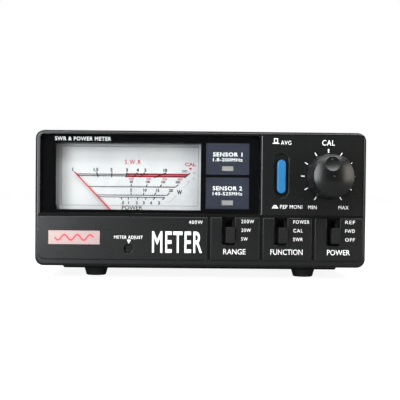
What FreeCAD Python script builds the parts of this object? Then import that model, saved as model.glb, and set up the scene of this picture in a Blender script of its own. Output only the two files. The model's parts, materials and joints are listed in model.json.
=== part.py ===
"""SWR and power meter for a radio station: a moulded front on a bent steel case,
with a moving-coil meter, three slide switches, a push switch, a calibration knob and four coaxial sockets.

Frame: X to the right, Y from front to back, Z up. The origin is under the middle of the meter, on the
surface that its feet stand on. All sizes are in millimetres and come from the spreadsheet Dims.
"""

import FreeCAD, Part
import Sketcher

import math
import os
import re

DIMENSIONS = {
    # Front moulding. FrontY is its foremost plane; depths called Deep are measured back from it.
    "FrontY": -48.25,
    "MidHeight": 37.75,
    # How far a cutting tool reaches past the face that it starts from
    "Over": 1.0,
    "BezelWidth": 155.0,
    "BezelHeight": 63.5,
    "BezelDeep": 15.0,
    "TongueDeep": 18.0,
    "TongueInset": 1.7,
    "TongueTopInset": 1.8,
    "CavityInset": 3.2,
    "CavityDeep": 6.3,
    "CornerRadius": 4.0,
    "FrontRound": 1.2,
    # Window recess in the moulding, from the middle of the front
    "RecessLeft": -75.3,
    "RecessRight": 27.6,
    "RecessBottom": -7.0,
    "RecessTop": 30.0,
    "RecessDeep": 3.9,
    "RecessCorner": 2.0,
    "RidgeRound": 1.3,
    "PanelSink": 0.5,
    "PanelRight": 76.2,
    "PanelTop": 30.5,
    "PanelWallDeep": 3.0,
    "PanelWallLeft": 30.5,
    "PanelLip": 0.2,
    "WindowSpare": 0.9,
    "LampClear": 0.6,
    # Raised control strip along the bottom of the front
    "StripSide": 76.2,
    "StripTop": -8.4,
    "StripBottom": -28.8,
    "StripRise": 0.6,
    "StripRound": 0.45,
    "StripCorner": 3.5,
    "StripWallDeep": 2.4,
    "StripWallTop": -9.5,
    "GrooveWidth": 1.2,
    "GrooveLeft": 3.9,
    "GroovePitch": 24.45,
    "GrooveSpare": 0.5,
    # Window pane, printed mask and sensor plates
    "PaneGap": 0.1,
    "PaneDeep": 1.5,
    "PaneThick": 2.0,
    "MaskDeep": 3.6,
    "MaskThick": 0.3,
    "ViewLeft": -68.5,
    "ViewRight": -0.15,
    "ViewBottom": -5.4,
    "ViewTop": 26.3,
    "SensorLeft": 2.3,
    "SensorRight": 22.7,
    "SensorHeight": 14.8,
    "SensorLowZ": -4.6,
    "SensorPitch": 16.15,
    "LampMidX": 12.55,
    "LampWidth": 5.3,
    "LampHeight": 2.3,
    "LampRise": 1.75,
    "LampGap": 0.4,
    "LampDeep": 3.65,
    "LampLong": 6.0,
    "LampLeadSide": 0.5,
    "LampLeadPitch": 2.54,
    # Badge plate
    "BadgeLeft": -71.0,
    "BadgeBottom": -21.6,
    "BadgeWidth": 23.9,
    "BadgeHeight": 6.35,
    "BadgeThick": 0.5,
    # Steel case
    "CoverSide": 76.9,
    "CoverTop": 68.9,
    "CoverSheet": 0.9,
    "CoverBend": 2.5,
    "CoverFoot": 6.9,
    "CaseDeep": 103.0,
    "CaseGap": 0.15,
    "ChassisSide": 75.85,
    "ChassisSheet": 1.0,
    "ChassisBottom": 6.6,
    "FlangeHeight": 13.0,
    "FlangeFrontDeep": 18.4,
    "PlateauSide": 67.3,
    "PlateauBottom": 3.75,
    "PlateauFrontDeep": 15.4,
    "PlateauBackDeep": 99.0,
    "PlateauSlope": 27.0,
    "HollowSideInset": 0.6,
    "HollowFrontInset": 1.2,
    "RearTop": 67.8,
    "RearLip": 3.0,
    "InletHolePlay": 0.1,
    "SideScrewZ": 14.0,
    "SideScrewFrontDeep": 30.0,
    "SideScrewBackDeep": 90.0,
    "ScrewRadius": 1.5,
    "ScrewHole": 1.65,
    "ScrewThread": 1.35,
    "ScrewTapHole": 1.4,
    "ScrewHead": 2.8,
    "ScrewHeadThick": 1.6,
    "ScrewHeadRound": 0.6,
    "ScrewLong": 6.0,
    "CrossHalf": 1.5,
    "CrossWidth": 0.7,
    "CrossDeep": 1.0,
    # Feet
    "FootX": 50.75,
    "FootFrontDeep": 22.0,
    "FootBackDeep": 88.0,
    "FootTopRadius": 5.8,
    "FootBottomRadius": 4.7,
    "FootWell": 3.1,
    "FootWellTop": 2.0,
    "FootScrewHead": 2.8,
    "FootScrewHeadThick": 1.5,
    "FootScrewSpare": 3.0,
    "FootSlotHalf": 2.2,
    "FootSlotWidth": 0.8,
    "FootSlotDeep": 0.7,
    "FootRound": 0.6,
    # Coaxial sockets and power inlet on the back
    "SocketFirstX": -57.0,
    "SocketPitch": 32.0,
    "SocketZ": 38.0,
    "SocketFlange": 25.4,
    "SocketFlangeThick": 3.2,
    "SocketReach": 12.5,
    "SocketRadius": 7.94,
    "SocketBore": 5.8,
    "SocketBoss": 7.6,
    "SocketBossDeep": 97.5,
    "SocketPanelHole": 7.8,
    "SocketScrewPitch": 18.2,
    "SocketLip": 0.8,
    "SocketCorner": 1.5,
    "ContactRadius": 2.85,
    "ContactBore": 2.0,
    "ContactBoreLong": 9.0,
    "ContactTail": 1.4,
    "ContactTailDeep": 92.5,
    "ContactSlit": 0.4,
    "ContactSlitLong": 6.3,
    "InletX": 65.0,
    "InletFlange": 5.5,
    "InletFlangeThick": 2.0,
    "InletBody": 4.0,
    "InletBodyDeep": 90.0,
    "InletBore": 2.8,
    "InletBoreLong": 9.0,
    "InletPin": 1.05,
    "InletPinLong": 8.0,
    "InletTail": 0.7,
    "InletTailLong": 4.5,
    "InletTagWidth": 1.8,
    "InletTagThick": 0.4,
    "InletTagDrop": 3.0,
    "InletTagLong": 3.0,
    # Directional couplers behind the sockets
    "CouplerMargin": 14.5,
    "CouplerHeight": 30.0,
    "CouplerFrontDeep": 84.0,
    "CouplerBackDeep": 101.9,
    "CouplerSheet": 0.8,
    "LineDeep": 93.9,
    "LineRadius": 1.4,
    "LineSpare": 1.5,
    "LineGap": 0.02,
    "VentRadius": 1.0,
    "VentPitch": 12.2,
    # Moving-coil meter
    "MeterX": -33.8,
    "MeterSide": 36.0,
    "MeterTop": 27.6,
    "MeterBottom": -27.8,
    "MeterWall": 1.5,
    "MeterFrontDeep": 6.5,
    "MeterJoinDeep": 18.0,
    "MeterBackDeep": 38.0,
    "LensLeft": -66.1,
    "LensRight": -1.0,
    "LensBottom": -3.9,
    "LensTop": 25.35,
    "LensRise": 0.4,
    "ScaleDeep": 14.0,
    "ScaleThick": 0.5,
    "ScaleSide": 34.3,
    "ScaleFoot": 2.0,
    "NotchTop": 10.3,
    "NotchFoot": 16.5,
    "ShelfRadius": 2.0,
    "ShelfInset": 4.0,
    "ScaleBottom": -9.0,
    "ScaleTop": 26.0,
    "PivotZ": -15.75,
    "NeedleLong": 39.2,
    "NeedleRest": 43.9,
    "NeedleDeep": 12.4,
    "NeedleThick": 0.35,
    "NeedleRoot": 0.8,
    "NeedleTip": 0.45,
    "NeedleTail": 7.0,
    "HubRadius": 1.9,
    "HubThick": 1.2,
    "HubLead": 0.4,
    "WeightRadius": 1.6,
    "WeightThick": 1.6,
    "StaffRadius": 0.4,
    "StaffFrontDeep": 11.0,
    "StaffBackDeep": 33.0,
    "CoreRadius": 5.0,
    "CoreFrontDeep": 20.5,
    "CoreLong": 9.5,
    "YokeInner": 7.9,
    "YokeOuter": 10.0,
    "YokeArm": 4.0,
    "YokeLap": 0.5,
    "YokeFootThick": 2.0,
    "YokeStand": 6.0,
    "YokeGap": 0.4,
    "CoreHole": 0.8,
    "CoilOuter": 7.2,
    "CoilInner": 6.0,
    "CoilFrontDeep": 18.9,
    "CoilBackDeep": 31.6,
    "CoilWidth": 2.4,
    "CoilBar": 1.1,
    "BridgeDeep": 9.0,
    "BridgeThick": 1.0,
    "BridgeSide": 10.0,
    "BridgeHalf": 2.0,
    "BridgeLeg": 1.8,
    "JewelRadius": 1.2,
    "JewelHole": 0.45,
    "JewelRise": 0.6,
    "JewelLap": 0.4,
    "LeverDeep": 10.4,
    "LeverThick": 0.7,
    "LeverRing": 2.4,
    "LeverHole": 1.25,
    "LeverWidth": 2.4,
    "LeverSlot": 0.86,
    "LeverEnd": 9.0,
    "LeverSlitLong": 3.0,
    "AdjustZ": -23.6,
    "AdjustHole": 2.0,
    "AdjustHead": 1.75,
    "AdjustHeadDeep": 1.0,
    "AdjustHeadGap": 0.3,
    "AdjustShank": 1.45,
    "AdjustShankHole": 1.5,
    "AdjustShankEnd": 8.6,
    "AdjustSlot": 0.6,
    "AdjustSlotDeep": 0.8,
    "AdjustPin": 0.38,
    "AdjustPinOffset": 0.8,
    "AdjustPinEnd": 11.6,
    "SpringFirst": 0.9,
    "SpringGrowth": 0.75,
    "SpringTurns": 3.0,
    "SpringDeep": 13.4,
    "SpringTall": 0.5,
    "SpringThick": 0.12,
    "BulbX": -6.0,
    "BulbZ": -16.0,
    "BulbDeep": 11.5,
    "BulbRadius": 1.9,
    "BulbLong": 6.5,
    # Boards
    "BoardThick": 1.6,
    "FrontBoardLeft": 5.0,
    "FrontBoardRight": 73.0,
    "FrontBoardBottom": -26.0,
    "FrontBoardTop": 27.0,
    "FrontBoardDeep": 23.0,
    "MainBoardSide": 69.0,
    "MainBoardZ": 12.5,
    "MainBoardFrontDeep": 43.0,
    "MainBoardBackDeep": 81.0,
    "SpacerX": 60.0,
    "SpacerFrontDeep": 48.0,
    "SpacerBackDeep": 76.0,
    "SpacerRadius": 3.0,
    "PotBoardHole": 3.8,
    "ChipFirstX": -34.0,
    "ChipPitch": 26.0,
    "ChipDeep": 56.0,
    "ChipLong": 9.4,
    "ChipWide": 6.4,
    "ChipTall": 3.3,
    "ChipLift": 0.5,
    "PinEdge": 0.7,
    "PinPitch": 2.54,
    "PinWide": 0.5,
    "PinThick": 0.8,
    "PinTall": 2.0,
    "CanX": 52.0,
    "CanDeep": 53.0,
    "CanRadius": 4.0,
    "CanTall": 11.0,
    "SmallCanDeep": 65.0,
    "SmallCanRadius": 2.5,
    "SmallCanTall": 7.0,
    "TrimFirstX": 16.0,
    "TrimPitch": 7.6,
    "TrimDeep": 57.0,
    "TrimSide": 6.6,
    "TrimTall": 4.0,
    "WiperRadius": 1.7,
    "WiperRise": 0.5,
    "WiperSlotLong": 2.6,
    "WiperSlotWide": 0.6,
    "RibbonX": 12.0,
    "RibbonWide": 22.0,
    "RibbonTop": 22.0,
    "RibbonReach": 4.0,
    "RibbonThick": 0.9,
    "RibbonBend": 2.5,
    # Calibration control
    "KnobX": 59.7,
    "KnobZ": 11.2,
    "KnobBackDeep": 0.1,
    "KnobReach": 19.0,
    "KnobSkirt": 10.8,
    "KnobSkirtThick": 1.2,
    "KnobSkirtSlope": 0.3,
    "KnobNeck": 10.5,
    "KnobNose": 9.5,
    "KnobNoseRound": 0.7,
    "KnobDome": 1.8,
    "KnobHollow": 7.5,
    "KnobHollowLong": 4.0,
    "KnobTurn": -8.0,
    "DimpleRadius": 22.0,
    "DimpleRise": 10.25,
    "DimpleAhead": 20.4,
    "MarkRadius": 0.9,
    "MarkRise": 7.8,
    "MarkAhead": -1.0,
    "ShaftRadius": 3.0,
    "ShaftFrontDeep": -13.0,
    "ShaftBackDeep": 15.0,
    "PotGap": 0.05,
    "PotRadius": 8.5,
    "PotFrontDeep": 11.0,
    "PotTagPitch": 5.0,
    "PotTagWidth": 1.2,
    "PotTagThick": 0.5,
    "PotTagDeep": 20.5,
    "PotTagTop": 6.0,
    "PotTagBottom": 12.5,
    "PotBoreSpare": 0.5,
    "BushRadius": 3.5,
    "BushFrontDeep": -2.2,
    "BushHole": 3.65,
    "NutRadius": 5.4,
    "NutThick": 2.0,
    # Push switch
    "WellX": 37.55,
    "WellZ": 11.3,
    "WellWidth": 6.6,
    "WellHeight": 20.5,
    "WellDeep": 1.5,
    "WellRound": 0.5,
    "ButtonX": 37.5,
    "ButtonZ": 10.85,
    "ButtonWidth": 4.4,
    "ButtonHeight": 16.1,
    "ButtonGap": 0.4,
    "ButtonFrontDeep": -2.0,
    "ButtonBackDeep": 6.0,
    "ButtonRound": 0.7,
    "StemSide": 3.0,
    "StemGap": 0.1,
    "StemBackDeep": 13.0,
    "PushFrontDeep": 10.0,
    "PushSide": 8.6,
    "PushTravel": 2.8,
    "PushSpare": 0.4,
    # Slide switches
    "SlotMidX": 13.0,
    "SlotPitch": 24.6,
    "SlotWidth": 6.0,
    "SlotTop": -8.4,
    "SlotBottom": -21.3,
    "SlotRound": 0.3,
    "CapShift": 0.75,
    "CapWidth": 4.2,
    "CapHeight": 7.2,
    "CapBottom": -20.2,
    "CapFrontDeep": -4.1,
    "CapBackDeep": 2.0,
    "CapRound": 0.25,
    "RibPitch": 1.0,
    "RibGroove": 0.45,
    "RibDeep": 0.5,
    "RibCount": 7,
    "NeckWidth": 2.4,
    "NeckHeight": 4.4,
    "NeckBackDeep": 13.0,
    "SlideTravel": 4.4,
    "SwitchWidth": 9.0,
    "SwitchHeight": 18.0,
    "SwitchFrontDeep": 9.0,
    "SwitchSlotDeep": 13.6,
    "SwitchGap": 0.2,
}

doc = FreeCAD.newDocument("swr_meter")
sheet = doc.addObject("Spreadsheet::Sheet", "Dims")
for row, (alias, size) in enumerate(DIMENSIONS.items(), start=1):
    sheet.set(f"A{row}", alias)
    sheet.set(f"B{row}", str(size))
    sheet.setAlias(f"B{row}", alias)
doc.recompute()

NODES = []


def bound(expression):
    """Writes each dimension's name in an expression as a reference to the spreadsheet."""
    def refer(match):
        return "Dims." + match.group() if match.group() in DIMENSIONS else match.group()

    return re.sub(r"[A-Z]\w+", refer, str(expression))


def bind(item, **expressions):
    """Binds properties to the sheet; a double underscore in a name stands for a dot."""
    for name, expression in expressions.items():
        item.setExpression(name.replace("__", "."), bound(expression))


def place(item, x, y, z):
    bind(item, Placement__Base__x=x, Placement__Base__y=y, Placement__Base__z=z)


def deep(depth):
    """The Y of a depth behind the foremost plane of the front."""
    return f"(FrontY + {depth})"


def high(offset):
    """The Z of a height counted from the middle of the front."""
    return f"(MidHeight + {offset})"


def node(item, name):
    """Names a finished sub-part."""
    item.Label = name
    NODES.append(item)
    return item


# ---------------------------------------------------------------- primitives and booleans


def box(x, y, z, name="block"):
    """A block between two limits on each axis, given as pairs of expressions."""
    item = doc.addObject("Part::Box", name)
    bind(item, Length=f"{x[1]} - ({x[0]})", Width=f"{y[1]} - ({y[0]})", Height=f"{z[1]} - ({z[0]})")
    place(item, x[0], y[0], z[0])
    return item


TURNS = {
    "X": FreeCAD.Rotation(FreeCAD.Vector(0, 1, 0), 90),
    "Y": FreeCAD.Rotation(FreeCAD.Vector(1, 0, 0), -90),
    "Z": FreeCAD.Rotation(),
}


def rod(radius, ends, across, axis="Y", name="rod"):
    """A cylinder along an axis: its two ends on that axis and its centre on the other two, in order."""
    item = doc.addObject("Part::Cylinder", name)
    item.Placement = FreeCAD.Placement(FreeCAD.Vector(), TURNS[axis])
    bind(item, Radius=radius, Height=f"{ends[1]} - ({ends[0]})")
    at = list(across)
    at.insert("XYZ".index(axis), ends[0])
    place(item, *at)
    return item


def ball(radius, at, name="ball"):
    item = doc.addObject("Part::Sphere", name)
    bind(item, Radius=radius)
    place(item, *at)
    return item


def fuse(parts, name="join"):
    item = doc.addObject("Part::MultiFuse", name)
    item.Shapes = parts
    item.Refine = True
    return item


def cut(base, tools, name="cut"):
    item = doc.addObject("Part::Cut", name)
    item.Base = base
    item.Tool = tools[0] if len(tools) == 1 else fuse(tools, name + "_tools")
    return item


def group(parts, name):
    """Separate identical solids that share one node."""
    item = doc.addObject("Part::Compound", name)
    item.Links = parts
    return node(item, name)


def matching_edges(item, test):
    """The names of an item's edges whose middle and direction pass a test."""
    doc.recompute()
    names = []
    for number, edge in enumerate(item.Shape.Edges, start=1):
        middle = edge.CenterOfMass
        if test(edge, middle):
            names.append(f"Edge{number}")
    return names


def runs_along(edge, axis):
    """Whether an edge is straight and parallel to an axis, given as X, Y or Z."""
    if len(edge.Vertexes) != 2:
        return False
    span = edge.Vertexes[1].Point - edge.Vertexes[0].Point
    reach = abs(getattr(span, axis.lower()))
    return reach > 0.001 and near(reach, span.Length) and near(reach, edge.Length)


def rounded(item, radius, test, name="rounded"):
    """A fillet on the edges of a primitive or boolean that pass a test."""
    names = matching_edges(item, test)
    result = doc.addObject("Part::Fillet", name)
    result.Base = item
    size = value(radius)
    result.Edges = [(int(edge[4:]), size, size) for edge in names]
    return result


def value(alias):
    """A dimension's number, read from the sheet."""
    return float(sheet.get(alias))


# ---------------------------------------------------------------- bodies made from sketches

PLANES = {"front": "XZ_Plane", "top": "XY_Plane", "side": "YZ_Plane"}


def new_body(name):
    return node(doc.addObject("PartDesign::Body", name), name)


def origin_plane(body, plane):
    return next(f for f in body.Origin.OriginFeatures if f.Role == PLANES[plane])


def sketch(body, plane, shift=("0", "0", "0")):
    """A sketch on one of the body's own planes, moved in the sketch's own axes. Its normal points to
    the front on the front plane, up on the top plane and to the right on the side plane."""
    item = body.newObject("Sketcher::SketchObject", body.Label + "_sketch")
    item.AttachmentSupport = [(origin_plane(body, plane), "")]
    item.MapMode = "FlatFace"
    bind(item, AttachmentOffset__Base__x=shift[0], AttachmentOffset__Base__y=shift[1],
         AttachmentOffset__Base__z=shift[2])
    return item


def number(expression):
    """What an expression of the sheet's dimensions comes to."""
    return float(sheet.evalExpression(str(expression)))


def hold_distance(drawing, kind, geometry, point, expression):
    """Holds one coordinate of a sketch's point at a bound distance from the sketch's origin."""
    index = drawing.addConstraint(Sketcher.Constraint(kind, -1, 1, geometry, point, number(expression)))
    drawing.setExpression(f"Constraints[{index}]", bound(expression))


def hold_point(drawing, geometry, point, place_at):
    """Holds a point of a sketch at bound distances from the sketch's origin."""
    hold_distance(drawing, "DistanceX", geometry, point, place_at[0])
    hold_distance(drawing, "DistanceY", geometry, point, place_at[1])


def hold_radius(drawing, geometry, radius):
    index = drawing.addConstraint(Sketcher.Constraint("Radius", geometry, number(radius)))
    drawing.setExpression(f"Constraints[{index}]", bound(radius))


def dome_arc(start, end):
    """An arc whose centre is on the sketch's Y axis, from a point on that axis to another point."""
    rise = end.y - start.y
    radius = (end.x ** 2 + rise ** 2) / (2 * rise)
    circle = Part.Circle(FreeCAD.Vector(0, start.y + radius, 0), FreeCAD.Vector(0, 0, 1), radius)
    return Part.ArcOfCircle(circle, -math.pi / 2, math.asin(end.x / radius) - math.pi / 2)


def add_outline(drawing, points, dome=None):
    """A closed outline through points given as pairs of expressions. Its sides are straight, but for
    the one numbered as the dome."""
    first = drawing.GeometryCount
    count = len(points)
    places = [FreeCAD.Vector(number(a), number(b), 0) for a, b in points]
    for side in range(count):
        line = dome_arc if side == dome else Part.LineSegment
        drawing.addGeometry(line(places[side], places[(side + 1) % count]), False)
    if dome is not None:
        hold_distance(drawing, "DistanceX", first + dome, 3, "0")
    for side in range(count):
        following = first + (side + 1) % count
        drawing.addConstraint(Sketcher.Constraint("Coincident", first + side, 2, following, 1))
        hold_point(drawing, first + side, 1, points[side])


def add_rectangle(drawing, left, right, bottom, top):
    add_outline(drawing, [(left, bottom), (right, bottom), (right, top), (left, top)])


def add_circle(drawing, centre, radius):
    middle = FreeCAD.Vector(number(centre[0]), number(centre[1]), 0)
    circle = drawing.addGeometry(Part.Circle(middle, FreeCAD.Vector(0, 0, 1), number(radius)), False)
    hold_point(drawing, circle, 3, centre)
    hold_radius(drawing, circle, radius)


def add_stadium(drawing, centre, width, height):
    """An upright slot outline with round ends."""
    radius = f"({width}) / 2"
    rise = f"(({height}) - ({width})) / 2"
    middles = [(centre[0], f"{centre[1]} + {rise}"), (centre[0], f"{centre[1]} - {rise}")]
    size = number(radius)
    arcs = []
    for (a, b), start in zip(middles, (0, math.pi)):
        circle = Part.Circle(FreeCAD.Vector(number(a), number(b), 0), FreeCAD.Vector(0, 0, 1), size)
        arcs.append(drawing.addGeometry(Part.ArcOfCircle(circle, start, start + math.pi), False))
    ends = [[FreeCAD.Vector(number(a) + side * size, number(b), 0) for a, b in middles] for side in (-1, 1)]
    left = drawing.addGeometry(Part.LineSegment(*ends[0]), False)
    right = drawing.addGeometry(Part.LineSegment(*ends[1]), False)
    for line, arc, end, arc_end in ((left, 0, 1, 2), (left, 1, 2, 1), (right, 0, 1, 1), (right, 1, 2, 2)):
        drawing.addConstraint(Sketcher.Constraint("Tangent", line, end, arcs[arc], arc_end))
    for arc, middle in zip(arcs, middles):
        hold_point(drawing, arc, 3, middle)
        hold_radius(drawing, arc, radius)


def pad(body, drawing, length, against=False, slope=None):
    """Adds material along the sketch's normal, or against it."""
    item = body.newObject("PartDesign::Pad", body.Label + "_pad")
    item.Profile = drawing
    item.Reversed = against
    bind(item, Length=length)
    if slope:
        bind(item, TaperAngle=slope)
    return item


def pocket(body, drawing, length, along=False, slope=None):
    """Cuts against the sketch's normal, or along it, and makes sure that something was cut."""
    doc.recompute()
    before = body.Shape.Volume
    item = body.newObject("PartDesign::Pocket", body.Label + "_pocket")
    item.Profile = drawing
    item.Reversed = along
    bind(item, Length=length)
    if slope:
        bind(item, TaperAngle=slope)
    doc.recompute()
    if not body.Shape.Volume < before - 0.001:
        raise RuntimeError(f"a pocket of {body.Label} cuts nothing")
    return item


def revolve(body, drawing, axis="V_Axis"):
    item = body.newObject("PartDesign::Revolution", body.Label + "_turned")
    item.Profile = drawing
    item.ReferenceAxis = (drawing, [axis])
    item.Angle = 360
    return item


def fillet(body, radius, test):
    """Rounds the edges of a body that pass a test."""
    names = matching_edges(body, test)
    if not names:
        raise RuntimeError(f"no edge of {body.Label} to round")
    base = body.Tip
    item = body.newObject("PartDesign::Fillet", body.Label + "_fillet")
    item.Base = (base, names)
    bind(item, Radius=radius)
    return item


def near(a, b):
    return abs(a - b) < 0.01


def within(middle, x, z):
    """Whether a point lies between limits on X and on Z."""
    return x[0] < middle.x < x[1] and z[0] < middle.z < z[1]


# ---------------------------------------------------------------- front moulding

HALF_W = "BezelWidth / 2"
HALF_H = "BezelHeight / 2"
CORNERS = ((-1, -1), (-1, 1), (1, -1), (1, 1))


def front_sketch(body, depth):
    """A sketch facing the front, at a depth, with its origin in the middle of the front."""
    return sketch(body, "front", ("0", "MidHeight", f"-FrontY - ({depth})"))


def edge_of_opening(edge, at, top):
    """Whether an edge on the strip's face bounds a slot's side or foot, or the adjusting hole."""
    if len(edge.Vertexes) == 1:
        return near(edge.Curve.Radius, number("AdjustHole"))
    half = number("SlotWidth / 2")
    offsets = [abs(at.x - number(f"SlotMidX + {step} * SlotPitch")) for step in range(3)]
    return min(offsets) < half + number("Over") / 2 and at.z < top - number("StripRound")\
        and at.z > number("MidHeight + SlotBottom") - number("Over") / 2


def make_front_bezel():
    body = new_body("front_bezel")
    y_front = number("FrontY")
    middle_z = number("MidHeight")

    strip_side = number("StripSide")
    strip_front = y_front - number("StripRise")
    low_z = middle_z + number("StripBottom")
    strip = front_sketch(body, "-StripRise")
    add_rectangle(strip, "-StripSide", "StripSide", "StripBottom", "StripTop")
    pad(body, strip, "StripRise + Over", against=True)
    fillet(body, "StripCorner", lambda edge, at: runs_along(edge, "Y") and near(at.z, low_z))
    fillet(body, "StripRound", lambda edge, at: near(at.y, strip_front))

    outline = front_sketch(body, "0")
    add_rectangle(outline, f"-{HALF_W}", HALF_W, f"-{HALF_H}", HALF_H)
    pad(body, outline, "BezelDeep", against=True)
    outer = (number(HALF_W), number(HALF_H))
    fillet(body, "CornerRadius", lambda edge, at: runs_along(edge, "Y") and near(abs(at.x), outer[0])
           and near(abs(at.z - middle_z), outer[1]))

    tongue = front_sketch(body, "BezelDeep")
    side = f"({HALF_W} - TongueInset)"
    rise = f"({HALF_H} - TongueTopInset)"
    add_rectangle(tongue, f"-{side}", side, f"-{rise}", rise)
    pad(body, tongue, "TongueDeep - BezelDeep", against=True)
    fillet(body, "CoverBend", lambda edge, at: runs_along(edge, "Y")
           and at.y > y_front + number("BezelDeep"))

    grooves = front_sketch(body, "-StripRise")
    groove_x = []
    for step in range(3):
        groove = f"(GrooveLeft + {step} * GroovePitch)"
        add_rectangle(grooves, f"{groove} - GrooveWidth / 2", f"{groove} + GrooveWidth / 2",
                      "StripBottom - GrooveSpare", "StripTop + GrooveSpare")
        groove_x.append(number(groove))
    pocket(body, grooves, "StripRise")
    fillet(body, "StripRound", lambda edge, at: runs_along(edge, "Z") and near(at.y, strip_front)
           and min(abs(at.x - x) for x in groove_x) < number("GrooveWidth"))

    panel = front_sketch(body, "0")
    add_rectangle(panel, "RecessRight - Over", "PanelRight", "RecessBottom - PanelLip", "PanelTop")
    pocket(body, panel, "PanelSink")
    recess = front_sketch(body, "0")
    add_rectangle(recess, "RecessLeft", "RecessRight", "RecessBottom", "RecessTop")
    pocket(body, recess, "RecessDeep")
    recess_right = number("RecessRight")
    panel_y = y_front + number("PanelSink")
    fillet(body, "RidgeRound", lambda edge, at: runs_along(edge, "Z") and near(at.x, recess_right)
           and near(at.y, panel_y))
    recess_left = number("RecessLeft")
    fillet(body, "RecessCorner", lambda edge, at: runs_along(edge, "Y") and near(at.x, recess_left)
           and at.z > middle_z and at.y < y_front + number("RecessDeep"))

    rim = number("FrontRound")
    fillet(body, "FrontRound", lambda edge, at: near(at.y, y_front)
           and (abs(at.x) > outer[0] - rim or abs(at.z - middle_z) > outer[1] - rim))

    cavity = front_sketch(body, "TongueDeep")
    side = f"({HALF_W} - CavityInset)"
    rise = f"({HALF_H} - CavityInset)"
    add_rectangle(cavity, f"-{side}", side, f"-{rise}", rise)
    pocket(body, cavity, "TongueDeep - CavityDeep", along=True)
    behind_strip = front_sketch(body, "CavityDeep")
    add_rectangle(behind_strip, f"-{side}", side, f"-{rise}", "StripWallTop")
    pocket(body, behind_strip, "CavityDeep - StripWallDeep", along=True)
    behind_panel = front_sketch(body, "CavityDeep")
    add_rectangle(behind_panel, "PanelWallLeft", side, "StripWallTop", rise)
    pocket(body, behind_panel, "CavityDeep - PanelWallDeep", along=True)

    windows = front_sketch(body, "RecessDeep")
    add_rectangle(windows, "ViewLeft - WindowSpare", "ViewRight + WindowSpare",
                  "ViewBottom - WindowSpare", "ViewTop + WindowSpare")
    for step in range(2):
        low = f"(SensorLowZ + {step} * SensorPitch + LampRise)"
        add_rectangle(windows, "LampMidX - LampWidth / 2 - LampClear", "LampMidX + LampWidth / 2 + LampClear",
                      f"{low} - LampClear", f"{low} + LampHeight + LampClear")
    pocket(body, windows, "CavityDeep - RecessDeep")

    slots = front_sketch(body, "-StripRise")
    for step in range(3):
        middle = f"(SlotMidX + {step} * SlotPitch)"
        add_rectangle(slots, f"{middle} - SlotWidth / 2", f"{middle} + SlotWidth / 2",
                      "SlotBottom", "SlotTop")
    add_circle(slots, ("MeterX", "AdjustZ"), "AdjustHole")
    pocket(body, slots, "StripWallDeep + StripRise")
    strip_top = middle_z + number("StripTop")
    fillet(body, "SlotRound", lambda edge, at: near(at.y, strip_front)
           and edge_of_opening(edge, at, strip_top))

    well = front_sketch(body, "PanelSink")
    add_stadium(well, ("WellX", "WellZ"), "WellWidth", "WellHeight")
    pocket(body, well, "WellDeep - PanelSink")
    well_x, well_z = number("WellX"), middle_z + number("WellZ")
    wide, tall = number("WellWidth"), number("WellHeight")
    fillet(body, "WellRound", lambda edge, at: near(at.y, panel_y)
           and within(at, (well_x - wide, well_x + wide), (well_z - tall, well_z + tall)))
    holes = front_sketch(body, "PanelSink")
    add_stadium(holes, ("ButtonX", "ButtonZ"), "ButtonWidth + 2 * ButtonGap", "ButtonHeight + 2 * ButtonGap")
    add_circle(holes, ("KnobX", "KnobZ"), "BushHole")
    pocket(body, holes, "PanelWallDeep - PanelSink")


def make_window():
    pane = new_body("window_pane")
    outline = front_sketch(pane, "PaneDeep")
    limits = ("RecessLeft + PaneGap", "RecessRight - PaneGap",
              "RecessBottom + PaneGap", "RecessTop - PaneGap")
    add_rectangle(outline, *limits)
    pad(pane, outline, "PaneThick", against=True)

    mask = new_body("window_mask")
    outline = front_sketch(mask, "MaskDeep")
    add_rectangle(outline, *limits)
    add_rectangle(outline, "ViewLeft", "ViewRight", "ViewBottom", "ViewTop")
    for step in range(2):
        low = f"(SensorLowZ + {step} * SensorPitch)"
        add_rectangle(outline, "SensorLeft", "SensorRight", low, f"{low} + SensorHeight")
    pad(mask, outline, "MaskThick", against=True)

    left = number("RecessLeft + PaneGap")
    for body in (pane, mask):
        fillet(body, "RecessCorner", lambda edge, at: runs_along(edge, "Y") and near(at.x, left)
               and at.z > number("MidHeight"))


def make_sensor_plates():
    for step in range(2):
        low = f"(SensorLowZ + {step} * SensorPitch)"
        name = f"sensor_{2 - step}"
        body = new_body(name + "_plate")
        outline = front_sketch(body, "MaskDeep")
        add_rectangle(outline, "SensorLeft", "SensorRight", low, f"{low} + SensorHeight")
        add_rectangle(outline, "LampMidX - LampWidth / 2 - LampGap", "LampMidX + LampWidth / 2 + LampGap",
                      f"{low} + LampRise - LampGap", f"{low} + LampRise + LampHeight + LampGap")
        pad(body, outline, "MaskThick", against=True)

        lens = box(("LampMidX - LampWidth / 2", "LampMidX + LampWidth / 2"),
                   (deep("LampDeep"), deep("LampDeep + LampLong")),
                   (high(f"{low} + LampRise"), high(f"{low} + LampRise + LampHeight")), name + "_lens")
        leads = []
        for side in (-1, 1):
            x = f"(LampMidX + {side} * LampLeadPitch / 2)"
            z = high(f"{low} + LampRise + LampHeight / 2")
            leads.append(box((f"{x} - LampLeadSide / 2", f"{x} + LampLeadSide / 2"),
                             (deep("LampDeep + LampLong"), deep("FrontBoardDeep")),
                             (f"{z} - LampLeadSide / 2", f"{z} + LampLeadSide / 2"), name + "_lead"))
        node(fuse([lens] + leads), name + "_lamp")


def make_badge_plate():
    body = new_body("badge_plate")
    outline = front_sketch(body, "-StripRise")
    add_rectangle(outline, "BadgeLeft", "BadgeLeft + BadgeWidth", "BadgeBottom", "BadgeBottom + BadgeHeight")
    pad(body, outline, "BadgeThick")


# ---------------------------------------------------------------- steel case and feet


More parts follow.
